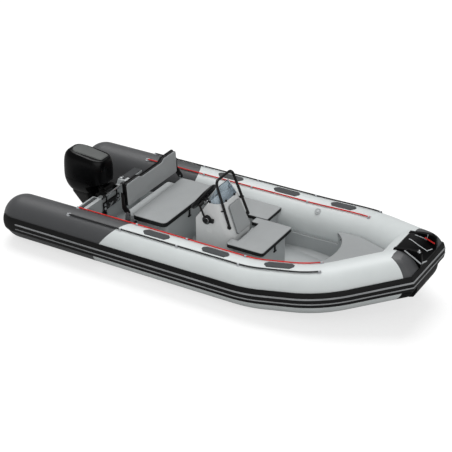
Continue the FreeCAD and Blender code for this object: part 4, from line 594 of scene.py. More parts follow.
@dataclass
class Studio:
    """Camera, lights and floor."""

    camera_place: Point = (8.256, -11.383, 7.619)
    aim: Point = (1.5995, 0.0, 0.359)
    lens: float = 109.3
    sensor: float = 36.0
    farthest: float = 200.0
    floor_size: float = 60.0
    floor_shade: float = 0.38
    floor_glow: float = 0.66
    sky: float = 0.5
    mirrored_sky: float = 0.2
    lamp_z: float = 10.0
    sun: float = 1.9
    sun_from: Point = (-0.25, 0.35, 1.0)
    sun_spread: float = 40.0
    fill: float = 0.9
    fill_from: Point = (0.5, -0.8, 0.5)
    fill_spread: float = 60.0

    def build(self) -> None:
        """Set up everything that isn't the boat."""
        self.place_camera()
        self.lay_floor()
        self.light()
        bpy.context.scene.view_settings.view_transform = "Standard"

    def place_camera(self) -> None:
        """The camera at the photograph's angle."""
        Hands.clear()
        bpy.ops.object.camera_add(location=self.camera_place)
        camera = bpy.context.object
        ahead = Vector(self.aim) - Vector(self.camera_place)
        camera.rotation_euler = ahead.to_track_quat("-Z", "Y").to_euler()
        camera.data.lens = self.lens
        camera.data.sensor_width = self.sensor
        camera.data.clip_end = self.farthest
        bpy.context.scene.camera = camera

    def lay_floor(self) -> None:
        """A white floor on the waterline that keeps the boat's shadow."""
        Hands.clear()
        bpy.ops.mesh.primitive_plane_add(size=self.floor_size, location=(0, 0, 0))
        floor = bpy.context.object
        floor.name = "studio_floor"
        material = bpy.data.materials.new("studio_floor")
        material.use_nodes = True
        tree = material.node_tree
        surface = tree.nodes["Principled BSDF"]
        surface.inputs["Base Color"].default_value = (self.floor_shade,) * 3 + (1,)
        surface.inputs["Roughness"].default_value = 1.0
        surface.inputs["Specular IOR Level"].default_value = 0.0
        rays = tree.nodes.new("ShaderNodeLightPath")
        glow = tree.nodes.new("ShaderNodeEmission")
        glow.inputs["Color"].default_value = (1, 1, 1, 1)
        seen = tree.nodes.new("ShaderNodeMath")
        seen.operation = "MAXIMUM"
        tree.links.new(rays.outputs["Is Camera Ray"], seen.inputs[0])
        tree.links.new(rays.outputs["Is Transmission Ray"], seen.inputs[1])
        level = tree.nodes.new("ShaderNodeMath")
        level.operation = "MULTIPLY"
        level.inputs[1].default_value = self.floor_glow
        tree.links.new(seen.outputs[0], level.inputs[0])
        tree.links.new(level.outputs[0], glow.inputs["Strength"])
        both = tree.nodes.new("ShaderNodeAddShader")
        tree.links.new(surface.outputs["BSDF"], both.inputs[0])
        tree.links.new(glow.outputs["Emission"], both.inputs[1])
        tree.links.new(both.outputs["Shader"], tree.nodes["Material Output"].inputs["Surface"])
        floor.data.materials.append(material)

    def light(self) -> None:
        """Light from all round, a large lamp overhead and a weaker one from the side."""
        world = bpy.data.worlds.new("studio")
        bpy.context.scene.world = world
        world.use_nodes = True
        tree = world.node_tree
        sky = tree.nodes["Background"]
        sky.inputs["Color"].default_value = (1, 1, 1, 1)
        rays = tree.nodes.new("ShaderNodeLightPath")
        mirrored = tree.nodes.new("ShaderNodeMapRange")
        mirrored.inputs["To Min"].default_value = self.sky
        mirrored.inputs["To Max"].default_value = self.mirrored_sky
        tree.links.new(rays.outputs["Is Glossy Ray"], mirrored.inputs["Value"])
        level = tree.nodes.new("ShaderNodeMapRange")
        level.inputs["To Max"].default_value = 1.0
        tree.links.new(mirrored.outputs["Result"], level.inputs["To Min"])
        tree.links.new(rays.outputs["Is Camera Ray"], level.inputs["Value"])
        tree.links.new(level.outputs["Result"], sky.inputs["Strength"])
        self.hang(self.sun_from, self.sun, self.sun_spread)
        self.hang(self.fill_from, self.fill, self.fill_spread)

    def hang(self, toward: Point, energy: float, spread: float) -> None:
        """A far, soft lamp.

        Args:
            toward: Direction from the boat to the lamp.
            energy: Its strength.
            spread: Its width in degrees.
        """
        Hands.clear()
        bpy.ops.object.light_add(type="SUN", location=(0, 0, self.lamp_z))
        lamp = bpy.context.object
        lamp.rotation_euler = Vector(toward).to_track_quat("Z", "Y").to_euler()
        lamp.data.energy = energy
        lamp.data.angle = math.radians(spread)


@dataclass
class Mouldings:
    """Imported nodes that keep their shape: smoothed copies with a finish."""

    finishes: dict[str, Finish] = field(default_factory=lambda: dict(CAD_FINISHES))
    edges: dict[str, float] = field(default_factory=lambda: {
        "driver_bench": 0.006, "front_seat_base": 0.006, "side_seat_base": 0.006, "transom": 0.004,
        "bow_step": 0.003, "tube_grip_pads": 0.0015, "lid_latches": 0.002, "transom_strips": 0.001,
        "clamp_bracket": 0.002, "backrest_brackets": 0.0015,
    })
    swell: dict[str, float] = field(default_factory=lambda: {
        "throttle": 0.0025, "lifeline_inner": 0.001, "lifeline_outer": 0.002, "console_rail": 0.001,
    })

    def build(self, frame: dict) -> None:
        """Dress every node that has a finish here.
        """
        bodies = frame["record"]["behaviour"]["bodies"]
        for body, members in bodies.items():
            for member in members:
                if member not in self.finishes:
                    continue
                piece = Hands.copy_of(frame["nodes"][member], member + "_skin")
                if member in self.edges:
                    Hands.soften(piece, self.edges[member])
                if member in self.swell:
                    Hands.choose(piece, lambda place: True)
                    bpy.ops.transform.shrink_fatten(value=self.swell[member])
                    Hands.leave()
                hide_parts(member)
                Hands.dress(piece, self.finishes[member], body, 30)


@dataclass(frozen=True)
class CushionPlan:
    """One cushion: node, body, the way its seat faces, its swelling, the size of its faces, its band."""

    node: str
    body: str
    facing: Point
    puff: float
    voxel: float
    banded: bool = True


@dataclass
class Cushions:
    """Foam cushions: a light cover, a black side band and a welt between them."""

    plans: tuple[CushionPlan, ...] = (
        CushionPlan("bow_cushion", "boat", (-0.2006, 0.0, 0.9797), 0.007, 0.008, False),
        CushionPlan("driver_cushion", "driver_lid", (0.0, 0.0, 1.0), 0.008, 0.008),
        CushionPlan("backrest_pad", "backrest", (0.9986, 0.0, 0.0523), 0.007, 0.007),
        CushionPlan("console_back_pad", "boat", (0.9222, 0.0, 0.3867), 0.005, 0.005, False),
        CushionPlan("front_cushion", "front_seat_lid", (0.0, 0.0, 1.0), 0.008, 0.007),
        CushionPlan("side_seat_cushion", "boat", (0.0, 0.0, 1.0), 0.007, 0.006),
    )
    shrink: float = 0.996
    band_drop: float = 0.010
    held_share: float = 0.3
    pressure: float = 4.0
    frames: int = 20
    welt: float = 0.0022

    def build(self, frame: dict) -> None:
        """Build every cushion.
        """
        for plan in self.plans:
            self.sew(frame, plan)

    def sew(self, frame: dict, plan: CushionPlan) -> None:
        """One cushion with its band and welt.

        Args:
            plan: The cushion.
        """
        facing = Vector(plan.facing)
        piece = Hands.copy_of(frame["nodes"][plan.node], plan.node + "_cover")
        heights = [facing.dot(vertex.co) for vertex in piece.data.vertices]
        low, high = min(heights), max(heights)
        middle = sum((vertex.co for vertex in piece.data.vertices), Vector()) / len(piece.data.vertices)
        Hands.edit(piece)
        bpy.ops.transform.resize(value=(self.shrink,) * 3, center_override=middle)
        Hands.leave()
        piece.data.remesh_voxel_size = plan.voxel
        bpy.ops.object.voxel_remesh()
        Hands.apply(piece, "SMOOTH", factor=0.5, iterations=3)
        self.fill(piece, facing, low + self.held_share * (high - low), plan.puff)
        Hands.apply(piece, "SUBSURF", levels=1, render_levels=1)
        self.stitch(piece, facing, high - self.band_drop, plan)

    def fill(self, piece: bpy.types.Object, facing: Vector, held: float, puff: float) -> None:
        """Swell the cover over its base with the pressure of its foam.

        Args:
            piece: The cover.
            facing: The way that the seat faces.
            held: Height along that way under which the cover is held.
            puff: The furthest that it swells.
        """
        scene = bpy.context.scene
        group = piece.vertex_groups.new(name="held")
        base = [vertex.index for vertex in piece.data.vertices if facing.dot(vertex.co) < held]
        group.add(base, 1.0, "REPLACE")
        rest = [vertex.co.copy() for vertex in piece.data.vertices]
        Hands.take(piece)
        bpy.ops.object.modifier_add(type="CLOTH")
        cloth = piece.modifiers[-1]
        cloth.settings.use_pressure = True
        cloth.settings.uniform_pressure_force = self.pressure
        cloth.settings.effector_weights.gravity = 0.0
        cloth.settings.vertex_group_mass = group.name
        for number in range(1, self.frames + 1):
            scene.frame_set(number)
        bpy.ops.object.modifier_apply(modifier=cloth.name)
        scene.frame_set(1)
        moves = [vertex.co - start for vertex, start in zip(piece.data.vertices, rest)]
        share = min(1.0, puff / max(move.length for move in moves))
        for vertex, start, move in zip(piece.data.vertices, rest, moves):
            vertex.co = start + move * share
        piece.vertex_groups.clear()

    def stitch(self, piece: bpy.types.Object, facing: Vector, line: float, plan: CushionPlan) -> None:
        """Cut the cover along its edge, colour the band and lay the welt.

        Args:
            piece: The cover.
            facing: The way that the seat faces.
            line: Height of the cut along that way.
            plan: The cushion.
        """
        Hands.edit(piece)
        Hands.cut(facing * line, facing)
        bpy.ops.mesh.duplicate()
        bpy.ops.mesh.separate(type="SELECTED")
        Hands.leave()
        welt = next(thing for thing in bpy.context.selected_objects if thing is not piece)
        piece.data.materials.clear()
        for finish in (CUSHION, CUSHION_BAND):
            piece.data.materials.append(finish.material())
        for polygon in piece.data.polygons:
            polygon.material_index = int(plan.banded and facing.dot(polygon.center) < line)
        Hands.smooth(piece, 50)
        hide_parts(plan.node)
        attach(piece, plan.body)
        Hands.take(welt)
        bpy.ops.object.convert(target="CURVE")
        welt.data.bevel_depth = self.welt
        welt.data.bevel_resolution = 1
        bpy.ops.object.convert(target="MESH")
        welt = bpy.context.object
        welt.name = plan.node + "_welt"
        Hands.dress(welt, CUSHION_BAND, plan.body, 60)
        LOG.info("sewed %s with %d faces", piece.name, len(piece.data.polygons))


@dataclass
class Cowl:
    """The engine's smooth cowl, built ring on ring and cut over the brackets.

    Each ring is its aft end, its fore end, its half width and its level.
    """

    rings: tuple[tuple[float, float, float, float], ...] = (
        (-0.430, -0.120, 0.116, 0.345),
        (-0.442, -0.100, 0.126, 0.353),
        (-0.474, -0.010, 0.150, 0.395),
        (-0.496, 0.044, 0.164, 0.440),
        (-0.510, 0.059, 0.173, 0.495),
        (-0.512, 0.060, 0.175, 0.560),
        (-0.509, 0.056, 0.174, 0.680),
        (-0.500, 0.051, 0.168, 0.752),
        (-0.482, 0.044, 0.156, 0.802),
        (-0.452, 0.036, 0.138, 0.832),
        (-0.428, 0.028, 0.120, 0.844),
    )
    corner: float = 0.62
    corner_steps: int = 5
    crown_rings: int = 4
    crown_slope: float = 6.0
    crown_inset: float = 0.03
    panel_edge: float = 0.003
    steer_x: float = -0.100
    swing: float = 30.0
    room_aft: float = -0.094
    room_aft_turned: float = -0.074
    room_long: float = 1.0
    room_half: float = 0.8
    room_floor: float = 0.1
    room_low: float = 0.445
    room_rise: float = 0.450
    seam_low: float = 0.504
    seam_high: float = 0.510
    seam_deep: float = 0.003
    seam_tilt: float = 0.7

    def build(self, frame: dict) -> None:
        """Build the cowl and its top panel, whose grey is partly a painted reflection.
        """
        piece = self.stack()
        aft = self.room_aft_turned
        for turn, back in ((0.0, self.room_aft), (-self.swing, aft), (self.swing, aft)):
            self.carve(piece, turn, back)
        self.groove(piece)
        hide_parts("cowl")
        Hands.dress(piece, COWL, "engine")
        self.cap(frame)

    def cap(self, frame: dict) -> None:
        """Lay the top panel on the sloping crown; its grey is partly the panel's own colour and partly a
        painted reflection of the sky.
        """
        aft, _, _, level = self.rings[-1]
        panel = Hands.copy_of(frame["nodes"]["cowl_top_panel"], "cowl_cap_and_reflection")
        Hands.soften(panel, self.panel_edge)
        Hands.choose(panel, lambda place: True)
        slope = math.radians(self.crown_slope)
        bpy.ops.transform.rotate(value=-slope, orient_axis="Y", center_override=(aft, 0, level))
        Hands.leave()
        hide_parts("cowl_top_panel")
        Hands.dress(panel, COWL_PANEL_AND_REFLECTION, "engine")

    def stack(self) -> bpy.types.Object:
        """Rings of a rounded box, closed at both ends and subdivided smooth.

        Returns:
            The closed body.
        """
        Hands.clear()
        bpy.ops.mesh.primitive_plane_add(size=2, location=(0, 0, 0))
        piece = bpy.context.object
        piece.name = "cowl_shell"
        Hands.edit(piece)
        bpy.ops.mesh.bevel(offset=self.corner, segments=self.corner_steps, affect="VERTICES")
        bpy.ops.mesh.select_all(action="SELECT")
        long, wide, height, centre = 1.0, 1.0, 0.0, 0.0
        tilt = math.radians(self.crown_slope / self.crown_rings)
        for place, (aft, fore, half, level) in enumerate(self.rings):
            if place:
                bpy.ops.mesh.extrude_region_move()
            middle, reach = (aft + fore) / 2, (fore - aft) / 2
            growth = (reach / long, half / wide, 1)
            bpy.ops.transform.resize(value=growth, center_override=(centre, 0, height))
            bpy.ops.transform.translate(value=(middle - centre, 0, level - height))
            if place >= len(self.rings) - self.crown_rings:
                bpy.ops.transform.rotate(value=-tilt, orient_axis="Y", center_override=(aft, 0, level))
            long, wide, height, centre = reach, half, level, middle
        bpy.ops.mesh.inset(thickness=self.crown_inset)
        bpy.ops.mesh.select_all(action="SELECT")
        bpy.ops.mesh.normals_make_consistent(inside=False)
        Hands.leave()
        Hands.apply(piece, "SUBSURF", levels=2, render_levels=2)
        return piece

    def carve(self, piece: bpy.types.Object, turn: float, back: float) -> None:
        """Cut the room over the brackets at one steering angle.

        Args:
            piece: The cowl.
            turn: The steering angle in degrees.
            back: Where the room begins.
        """
        low = (back, -self.room_half, self.room_floor)
        high = (back + self.room_long, self.room_half, self.room_low)
        room = Hands.wedge("room", low, high, self.room_rise)
        post = (self.steer_x, 0, 0)
        Hands.edit(room)
        bpy.ops.transform.rotate(value=math.radians(turn), orient_axis="Z", center_override=post)
        Hands.leave()
        Hands.apply(piece, "BOOLEAN", operation="DIFFERENCE", object=room, solver="EXACT")
        bpy.data.objects.remove(room, do_unlink=True)

    def groove(self, piece: bpy.types.Object) -> None:
        """Sink the joint between the cowl and its tray."""
        Hands.edit(piece)
        for level in (self.seam_low, self.seam_high):
            Hands.cut((0, 0, level), ALONG_Z)
        Hands.leave()
        middle = (self.seam_low + self.seam_high) / 2
        reach = (self.seam_high - self.seam_low) / 2
        for polygon in piece.data.polygons:
            inside = abs(polygon.center.z - middle) < reach
            polygon.select = inside and abs(polygon.normal.z) < self.seam_tilt
        bpy.ops.object.mode_set(mode="EDIT")
        bpy.ops.mesh.select_mode(type="FACE")
        bpy.ops.mesh.extrude_region_shrink_fatten(TRANSFORM_OT_shrink_fatten={"value": -self.seam_deep})
        Hands.leave()


@dataclass
class Tubes:
    """Seam tapes, the bow's colours, the hull's stem under the bow in black as painted shade, and the ends
    of the strake's stripes.

    Each of the stem piece's cuts is a point of a plane and the side that is cut away.
    """

    tape_wide: float = 0.034
    tape_thick: float = 0.0014
    end_x: float = 0.3
    end_facing: float = 0.6
    end_near: float = 0.0004
    stripe_aft_x: float = -0.500
    bow_dark_x: float = 3.710
    bow_dark_y: float = 0.350
    bow_spread: float = 0.495
    bow_black_x: float = 3.895
    bow_black_y: float = 0.205
    bow_black_z: float = 0.450
    shade_under_bow_wide: float = 0.68
    shade_under_bow_shift: Point = (-0.002, 0, -0.070)
    shade_under_bow_cuts: tuple[tuple[Point, Point], ...] = (
        ((0, 0, 0.460), (0, 0, 1)), ((0, 0, 0.300), (0, 0, -1)), ((3.890, 0, 0), (-1, 0, 0)),
    )

    def build(self, frame: dict) -> None:
        """Lay a tape over each aft seam, and finish the bow and the stripes.
        """
        for side in ("port", "starboard"):
            self.tape(frame["nodes"]["tube_aft_" + side], "seam_tape_" + side)
        self.colour_bow()
        self.shade_under_bow(frame["nodes"]["tube_bow"])
        self.end_stripes()

    def colour_bow(self) -> None:
        """Light corners, a dark middle, and a black nose and underside."""
        piece = bpy.data.objects["tube_bow_skin"]
        Hands.edit(piece)
        Hands.cut((self.bow_black_x, 0, 0), ALONG_X)
        Hands.cut((0, 0, self.bow_black_z), ALONG_Z)
        for side in (-self.bow_black_y, self.bow_black_y):
            Hands.cut((0, side, 0), ALONG_Y)
        Hands.cut((self.bow_dark_x, 0, 0), (-1, 0, 0))
        for side in (-1, 1):
            facing = Vector((-self.bow_spread, side, 0)).normalized()
            Hands.cut((self.bow_dark_x, self.bow_dark_y * side, 0), facing)
        Hands.leave()
        for finish in (TUBE_LIGHT, STEP_BLACK):
            piece.data.materials.append(finish.material())
        for polygon in piece.data.polygons:
            spot = polygon.center
            dark_half = self.bow_dark_y + self.bow_spread * (spot.x - self.bow_dark_x)
            light = spot.x < self.bow_dark_x or abs(spot.y) > dark_half
            nose = spot.x > self.bow_black_x and abs(spot.y) < self.bow_black_y
            black = nose or spot.z < self.bow_black_z
            polygon.material_index = 1 if light else 2 * int(black)
        Hands.smooth(piece)

    def shade_under_bow(self, node: bpy.types.Object) -> None:
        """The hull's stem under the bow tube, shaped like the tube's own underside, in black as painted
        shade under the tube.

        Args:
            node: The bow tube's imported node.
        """
        piece = Hands.copy_of(node, "bow_stem_in_shade")
        Hands.choose(piece, lambda place: True)
        bpy.ops.transform.resize(value=(1, self.shade_under_bow_wide, 1), center_override=(0, 0, 0))
        bpy.ops.transform.translate(value=self.shade_under_bow_shift)
        for place, facing in self.shade_under_bow_cuts:
            Hands.cut(place, facing, clear_outer=True, use_fill=True)
        bpy.ops.mesh.select_all(action="SELECT")
        bpy.ops.mesh.normals_make_consistent(inside=False)
        Hands.leave()
        # The black stands for the shade under the bow tube: painted shade.
        Hands.dress(piece, STEP_BLACK, "boat", 40)

    def end_stripes(self) -> None:
        """The stripes stop short of the strake's aft ends."""
        Hands.edit(bpy.data.objects["strake_stripes_skin"])
        Hands.cut((self.stripe_aft_x, 0, 0), ALONG_X, clear_inner=True, use_fill=True)
        Hands.leave()

    def tape(self, node: bpy.types.Object, name: str) -> None:
        """A strip of the tube's own skin next to its forward end, lifted a little.

        Args:
            node: The tube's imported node.
            name: Name of the tape.
        """
        fore = [face for face in node.data.polygons if face.center.x > self.end_x]
        ends = [face for face in fore if abs(face.normal.x) > self.end_facing]
        facing = sum((face.normal * face.area for face in ends), Vector()).normalized()
        place = sum((face.center * face.area for face in ends), Vector()) / sum(face.area for face in ends)
        piece = Hands.copy_of(node, name)
        Hands.edit(piece)
        Hands.cut(place - facing * self.tape_wide, facing, clear_inner=True)
        Hands.choose(piece, lambda spot: abs(facing.dot(spot - place)) < self.end_near)
        bpy.ops.mesh.select_mode(type="FACE")
        bpy.ops.mesh.delete(type="ONLY_FACE")
        bpy.ops.mesh.select_all(action="SELECT")
        bpy.ops.transform.shrink_fatten(value=self.tape_thick)
        Hands.leave()
        Hands.apply(piece, "SOLIDIFY", thickness=self.tape_thick, offset=-1.0)
        Hands.dress(piece, TUBE_CHARCOAL, "boat", 40)


@dataclass
class Helm:
    """Steering wheel, dials and throttle trim."""

    wheel: Point = (1.380, -0.100, 0.710)
    axis: Point = (-0.8087, 0.0, 0.5882)
    rim: float = 0.157
    grip: float = 0.022
    spokes: tuple[int, ...] = (90, 210, 330)
    spoke: float = 0.014
    spoke_knee: float = 0.6
    dish: float = 0.016
    hub: Disc = Disc(0.052, 0.034, 48, 0.010)
    hub_back: float = 0.008
    dash: Point = (1.460, -0.100, 0.680)
    dash_up: Point = (0.5882, 0.0, 0.8087)
    dial: Disc = Disc(0.036, 0.008, 40, 0.002)
    dial_up: float = 0.045
    dial_shifts: tuple[float, ...] = (-0.115, 0.115)
    dial_lift: float = 0.002
    bezel: float = 0.038
    bezel_thick: float = 0.003
    bezel_lift: float = 0.004
    throttle_hub: Disc = Disc(0.040, 0.026, 40, 0.004)
    throttle_hub_at: Point = (1.557, -0.341, 0.583)
    throttle_ring: float = 0.030
    throttle_ring_thick: float = 0.003
    throttle_ring_at: Point = (1.557, -0.354, 0.583)

    def build(self) -> None:
        """Build the helm."""
        self.turn_wheel()
        self.set_dials()
        hub = Hands.drum("throttle_hub", self.throttle_hub, self.throttle_hub_at, ALONG_Y)
        Hands.dress(hub, FRAME_BLACK, "boat")
        radius, thick = self.throttle_ring, self.throttle_ring_thick
        ring = Hands.ring("throttle_ring", radius, thick, self.throttle_ring_at, ALONG_Y)
        Hands.dress(ring, CHROME, "boat")

    def turn_wheel(self) -> None:
        """Rim, three spokes and a domed hub."""
        axis = Vector(self.axis).normalized()
        centre = Vector(self.wheel)
        across = Vector(ALONG_Y)
        up = axis.cross(across).normalized()
        parts = [Hands.ring("wheel_rim", self.rim, self.grip, centre, axis, 72)]
        for degrees in self.spokes:
            way = across * math.cos(math.radians(degrees)) + up * math.sin(math.radians(degrees))
            start, end = centre - axis * self.dish, centre + way * self.rim
            line = [start, start.lerp(end, self.spoke_knee), end]
            parts.append(Hands.pipe("spoke", line, self.spoke, soft=False))
        parts.append(Hands.drum("hub", self.hub, centre - axis * self.hub_back, axis))
        wheel = Hands.joined("helm_wheel", parts)
        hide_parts("steering_wheel")
        Hands.dress(wheel, FRAME_BLACK, "helm", 40)

    def set_dials(self) -> None:
        """Two round dials on the sloped dash."""
        out = Vector(self.axis)
        middle = Vector(self.dash) + Vector(self.dash_up) * self.dial_up
        for number, shift in enumerate(self.dial_shifts):
            place = middle + Vector((0, shift, 0))
            face = Hands.drum(f"dial_face_{number}", self.dial, place + out * self.dial_lift, out)
            Hands.dress(face, DIAL, "boat")
            rise = out * self.bezel_lift
            bezel = Hands.ring(f"dial_bezel_{number}", self.bezel, self.bezel_thick, place + rise, out)
            Hands.dress(bezel, CHROME, "boat")


@dataclass
class ScreenTrim:
    """Bolts and sloped aft edges of the windscreen, and the rail's stubs and feet."""

    bolts: tuple[Point, ...] = (
        (1.579, -0.303, 0.790), (1.710, -0.189, 0.786), (1.710, -0.011, 0.786), (1.579, 0.103, 0.790),
    )
    bolt: Disc = Disc(0.014, 0.010, 24, 0.003)
    bolt_lift: float = 0.004
    slope: tuple[Point, Point] = ((1.560, 0.0, 0.790), (1.630, 0.0, 0.960))
    stubs: tuple[tuple[Point, Point], ...] = (
        ((1.700, 0.088, 0.688), (1.762, 0.104, 0.726)), ((1.706, -0.288, 0.700), (1.762, -0.304, 0.726)),
    )
    stub: float = 0.008
    feet: tuple[Point, ...] = ((1.815, -0.300, 0.540), (1.815, 0.100, 0.540))
    foot: Disc = Disc(0.024, 0.006, 32, 0.002)

    def build(self, frame: dict) -> None:
        """Build the fittings.
        """
        surface = Hands.copy_of(frame["nodes"]["windscreen"], "screen_probe")
        parts = []
        for point in self.bolts:
            hit, place, normal, _ = surface.closest_point_on_mesh(point)
            if hit:
                parts.append(Hands.drum("bolt", self.bolt, place + normal * self.bolt_lift, normal))
        bpy.data.objects.remove(surface, do_unlink=True)
        if parts:
            Hands.dress(Hands.joined("screen_bolts", parts), FRAME_BLACK, "boat")
        self.slant()
        stubs = [Hands.pipe("stub", ends, self.stub, soft=False) for ends in self.stubs]
        Hands.dress(Hands.joined("rail_stubs", stubs), RAIL, "boat")
        feet = [Hands.drum("foot", self.foot, place, ALONG_Y) for place in self.feet]
        Hands.dress(Hands.joined("rail_feet", feet), RAIL, "boat")

    def slant(self) -> None:
        """Cut the windscreen's aft edges to a slope."""
        low, high = (Vector(point) for point in self.slope)
        rise = high - low
        Hands.edit(bpy.data.objects["windscreen_skin"])
        Hands.cut(low, (-rise.z, 0, rise.x), clear_outer=True, use_fill=True)
        Hands.leave()


@dataclass(frozen=True)
class TrimLine:
    """One raised line: its points, the side from which it is laid, and its radius."""

    points: tuple[Point, ...]
    out: Point
    radius: float = 0.005


@dataclass
class BowFittings:
    """Trim lines and a mooring post on the bow step, and a pad eye by the bow cushion."""

    lines: tuple[TrimLine, ...] = (
        TrimLine(((3.731, 0.035, 0.784), (3.844, 0.007, 0.760), (3.939, 0.022, 0.710)), (0.0, 0.0, 1.0)),
        TrimLine(((3.939, 0.022, 0.710), (3.954, 0.121, 0.689)), (0.7, 0.0, 0.7)),
        TrimLine(
            ((3.790, -0.212, 0.790), (3.897, -0.212, 0.734), (3.976, -0.212, 0.688)),
            (0.0, -1.0, 0.0), 0.008),
        TrimLine(
            ((3.976, -0.200, 0.688), (3.973, 0.008, 0.622), (3.984, 0.171, 0.591)),
            (0.9, 0.0, 0.4), 0.008),
        TrimLine(((3.751, 0.140, 0.785), (3.880, 0.174, 0.777)), (0.0, 0.0, 1.0), 0.004),
    )
    step: float = 0.012
    reach: float = 0.3
    post_foot: Disc = Disc(0.020, 0.008, 32, 0.002)
    post_foot_at: Point = (3.940, -0.196, 0.808)
    post: Disc = Disc(0.011, 0.020, 28, 0.003)
    post_at: Point = (3.940, -0.196, 0.820)
    eye: tuple[Point, ...] = (
        (2.832, 0.319, 0.370), (2.832, 0.331, 0.382), (2.832, 0.355, 0.382), (2.832, 0.367, 0.370),
    )
    eye_bar: float = 0.004

    def build(self, frame: dict) -> None:
        """Build the fittings on the bow.
        """
        under = [Hands.copy_of(frame["nodes"][node], node + "_probe") for node in ("bow_step", "tube_bow")]
        pieces = [self.lay(line, under) for line in self.lines]
        Hands.dress(Hands.joined("bow_trim", [piece for piece in pieces if piece]), TRIM, "boat")
        for probe in under:
            bpy.data.objects.remove(probe, do_unlink=True)
        post = [
            Hands.drum("foot", self.post_foot, self.post_foot_at, ALONG_Z),
            Hands.drum("post", self.post, self.post_at, ALONG_Z),
        ]
        Hands.dress(Hands.joined("mooring_post", post), CHROME, "boat")
        Hands.dress(Hands.pipe("pad_eye", self.eye, self.eye_bar), FRAME_BLACK, "boat")

    def lay(self, line: TrimLine, under: list[bpy.types.Object]) -> bpy.types.Object | None:
        """Lay one line on the surface under it.

        Args:
            line: The line.
            under: The pieces that it may lie on.

        Returns:
            The line as a round bar, or None where nothing lies under it.
        """
        out = Vector(line.out).normalized()
        spots = []
        corners = [Vector(point) for point in line.points]
        for start, end in zip(corners, corners[1:]):
            count = max(1, round((end - start).length / self.step))
            for number in range(count + 1):
                above = start.lerp(end, number / count) + out * self.reach
                hits = [probe.ray_cast(above, -out) for probe in under]
                places = [place for hit, place, _, _ in hits if hit]
                if places:
                    spots.append(max(places, key=out.dot))
        return Hands.pipe("line", spots, line.radius, soft=False) if len(spots) > 1 else None


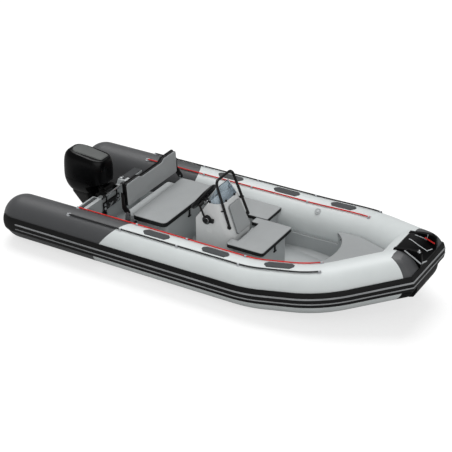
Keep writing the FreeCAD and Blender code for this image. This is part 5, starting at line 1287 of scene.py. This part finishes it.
@dataclass
class SternFittings:
    """What holds the engine, the steering hoses, a drain socket and a filler cap by the transom."""

    screw: Disc = Disc(0.011, 0.050, 24, 0.002)
    screw_x: float = 0.100
    screw_y: float = 0.070
    screw_z: float = 0.270
    handle: float = 0.006
    handle_x: float = 0.122
    handle_half: float = 0.036
    handle_rise: float = 0.020
    bolt_rows: tuple[float, ...] = (0.225, 0.275)
    bolt_y: float = 0.130
    washer: Disc = Disc(0.015, 0.005, 28, 0.001)
    washer_x: float = 0.078
    nut: Disc = Disc(0.009, 0.012, 6, 0.001)
    nut_x: float = 0.084
    pad_low: Point = (0.0595, -0.150, 0.200)
    pad_high: Point = (0.0780, 0.165, 0.300)
    edge: float = 0.004
    sleeve: Disc = Disc(0.042, 0.176, 48, 0.006)
    sleeve_at: Point = (0.030, 0.0, 0.424)
    bridge_low: Point = (-0.068, -0.045, 0.385)
    bridge_high: Point = (0.004, 0.045, 0.438)
    bridge_rise: float = 0.030
    hose: float = 0.009
    hose_line: tuple[Point, ...] = (
        (0.112, 0.186, 0.412), (0.114, 0.212, 0.410), (0.104, 0.222, 0.392),
        (0.082, 0.222, 0.384), (0.060, 0.222, 0.384),
    )
    grommet: Disc = Disc(0.018, 0.006, 28, 0.002)
    grommet_at: Point = (0.062, 0.222, 0.384)
    cylinder_end: Disc = Disc(0.016, 0.030, 24, 0.003)
    cylinder_end_at: Point = (0.110, 0.178, 0.412)
    plate_low: Point = (0.058, -0.205, 0.128)
    plate_high: Point = (0.074, -0.095, 0.192)
    socket: Disc = Disc(0.018, 0.020, 32, 0.003)
    socket_at: Point = (0.080, -0.126, 0.160)
    knob: Disc = Disc(0.015, 0.022, 28, 0.004)
    knob_at: Point = (0.082, -0.174, 0.160)
    filler: Disc = Disc(0.024, 0.014, 32, 0.004)
    filler_at: Point = (0.022, 0.290, 0.425)
    # A dark pad on the port shoulder: painted shade where the shoulder lies in shade.
    shoulder_shade_low: Point = (0.008, 0.340, 0.4195)
    shoulder_shade_high: Point = (0.112, 0.585, 0.4275)
    shoulder_shade_edge: float = 0.002

    def build(self) -> None:
        """Build the fittings."""
        self.hold_engine()
        self.cover_tilt()
        self.run_hoses()
        self.add_sockets()

    def hold_engine(self) -> None:
        """Clamp screws with their bars, through bolts with their washers, and the plate under them."""
        screws = []
        for side in (-self.screw_y, self.screw_y):
            screws.append(Hands.drum("screw", self.screw, (self.screw_x, side, self.screw_z), ALONG_X))
            ends = [(self.handle_x, side + self.handle_half * way, self.screw_z + self.handle_rise * way)
                    for way in (-1, 1)]
            screws.append(Hands.pipe("handle", ends, self.handle, soft=False))
        Hands.dress(Hands.joined("clamp_screws", screws), STEEL, "boat")
        bolts = []
        for height in self.bolt_rows:
            for side in (-self.bolt_y, self.bolt_y):
                bolts.append(Hands.drum("washer", self.washer, (self.washer_x, side, height), ALONG_X))
                bolts.append(Hands.drum("nut", self.nut, (self.nut_x, side, height), ALONG_X))
        Hands.dress(Hands.joined("through_bolts", bolts), CHROME, "boat")
        pad = Hands.brick("mount_plate", self.pad_low, self.pad_high, self.edge)
        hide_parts("engine_mount_pad")
        Hands.dress(pad, BLACK_MOULDING, "boat")

    def cover_tilt(self) -> None:
        """A sleeve round the tilt tube, and a wedge that closes the gap between it and the cowl."""
        sleeve = Hands.drum("tilt_sleeve", self.sleeve, self.sleeve_at, ALONG_Y)
        Hands.dress(sleeve, BRACKET, "swivel")
        bridge = Hands.wedge("tilt_bridge", self.bridge_low, self.bridge_high, self.bridge_rise)
        Hands.round_edges(bridge, self.edge)
        Hands.dress(bridge, BRACKET, "swivel")

    def run_hoses(self) -> None:
        """Two hoses from the steering cylinder to the transom, and the cylinder's end caps."""
        hoses = []
        ends = []
        for side in (-1, 1):
            line = [(x, side * y, z) for x, y, z in self.hose_line]
            hoses.append(Hands.pipe("hose", line, self.hose))
            x, y, z = self.grommet_at
            hoses.append(Hands.drum("grommet", self.grommet, (x, side * y, z), ALONG_X))
            x, y, z = self.cylinder_end_at
            ends.append(Hands.drum("end", self.cylinder_end, (x, side * y, z), ALONG_Y))
        Hands.dress(Hands.joined("steering_hoses", hoses), HOSE, "boat")
        Hands.dress(Hands.joined("cylinder_ends", ends), BRACKET, "boat")

    def add_sockets(self) -> None:
        """A drain socket on the transom's inner face, a filler cap on its port shoulder, and a dark pad
        there as painted shade.
        """
        body = [
            Hands.brick("plate", self.plate_low, self.plate_high, self.edge),
            Hands.drum("socket", self.socket, self.socket_at, ALONG_X),
        ]
        Hands.dress(Hands.joined("drain_plate", body), FRAME_BLACK, "boat")
        Hands.dress(Hands.drum("drain_knob", self.knob, self.knob_at, ALONG_X), CHROME, "boat")
        Hands.dress(Hands.drum("filler_cap", self.filler, self.filler_at, ALONG_Z), STEEL, "boat")
        # Painted shade: a dark pad over the port shoulder's top.
        shade_pad = Hands.brick("shoulder_painted_shade", self.shoulder_shade_low, self.shoulder_shade_high, self.shoulder_shade_edge)
        Hands.dress(shade_pad, STRIP, "boat")


@dataclass
class ValveCaps:
    """Rings and caps on the inflation valves."""

    lean: float = 51.0
    lift: float = 0.008
    ring: float = 0.030
    ring_thick: float = 0.004
    cap: Disc = Disc(0.020, 0.014, 24, 0.003)

    def build(self, frame: dict) -> None:
        """A raised ring and a cap on each valve.
        """
        node = frame["nodes"]["inflation_valves"]
        lean = math.radians(self.lean)
        for number, side in enumerate((-1, 1)):
            spots = [vertex.co for vertex in node.data.vertices if vertex.co.y * side > 0]
            inward = Vector((0, -side * math.cos(lean), math.sin(lean)))
            place = sum(spots, Vector()) / len(spots) + inward * self.lift
            ring = Hands.ring(f"valve_ring_{number}", self.ring, self.ring_thick, place, inward, 40)
            Hands.dress(ring, VALVE, "boat")
            cap = Hands.drum(f"valve_cap_{number}", self.cap, place, inward)
            Hands.dress(cap, VALVE, "boat")


def main() -> None:
    """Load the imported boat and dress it."""
    logging.basicConfig(level=logging.INFO)
    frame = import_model()
    Studio().build()
    Cushions().build(frame)
    Cowl().build(frame)
    Helm().build()
    Mouldings().build(frame)
    Tubes().build(frame)
    ScreenTrim().build(frame)
    BowFittings().build(frame)
    SternFittings().build()
    ValveCaps().build(frame)


if __name__ == "__main__":
    main()
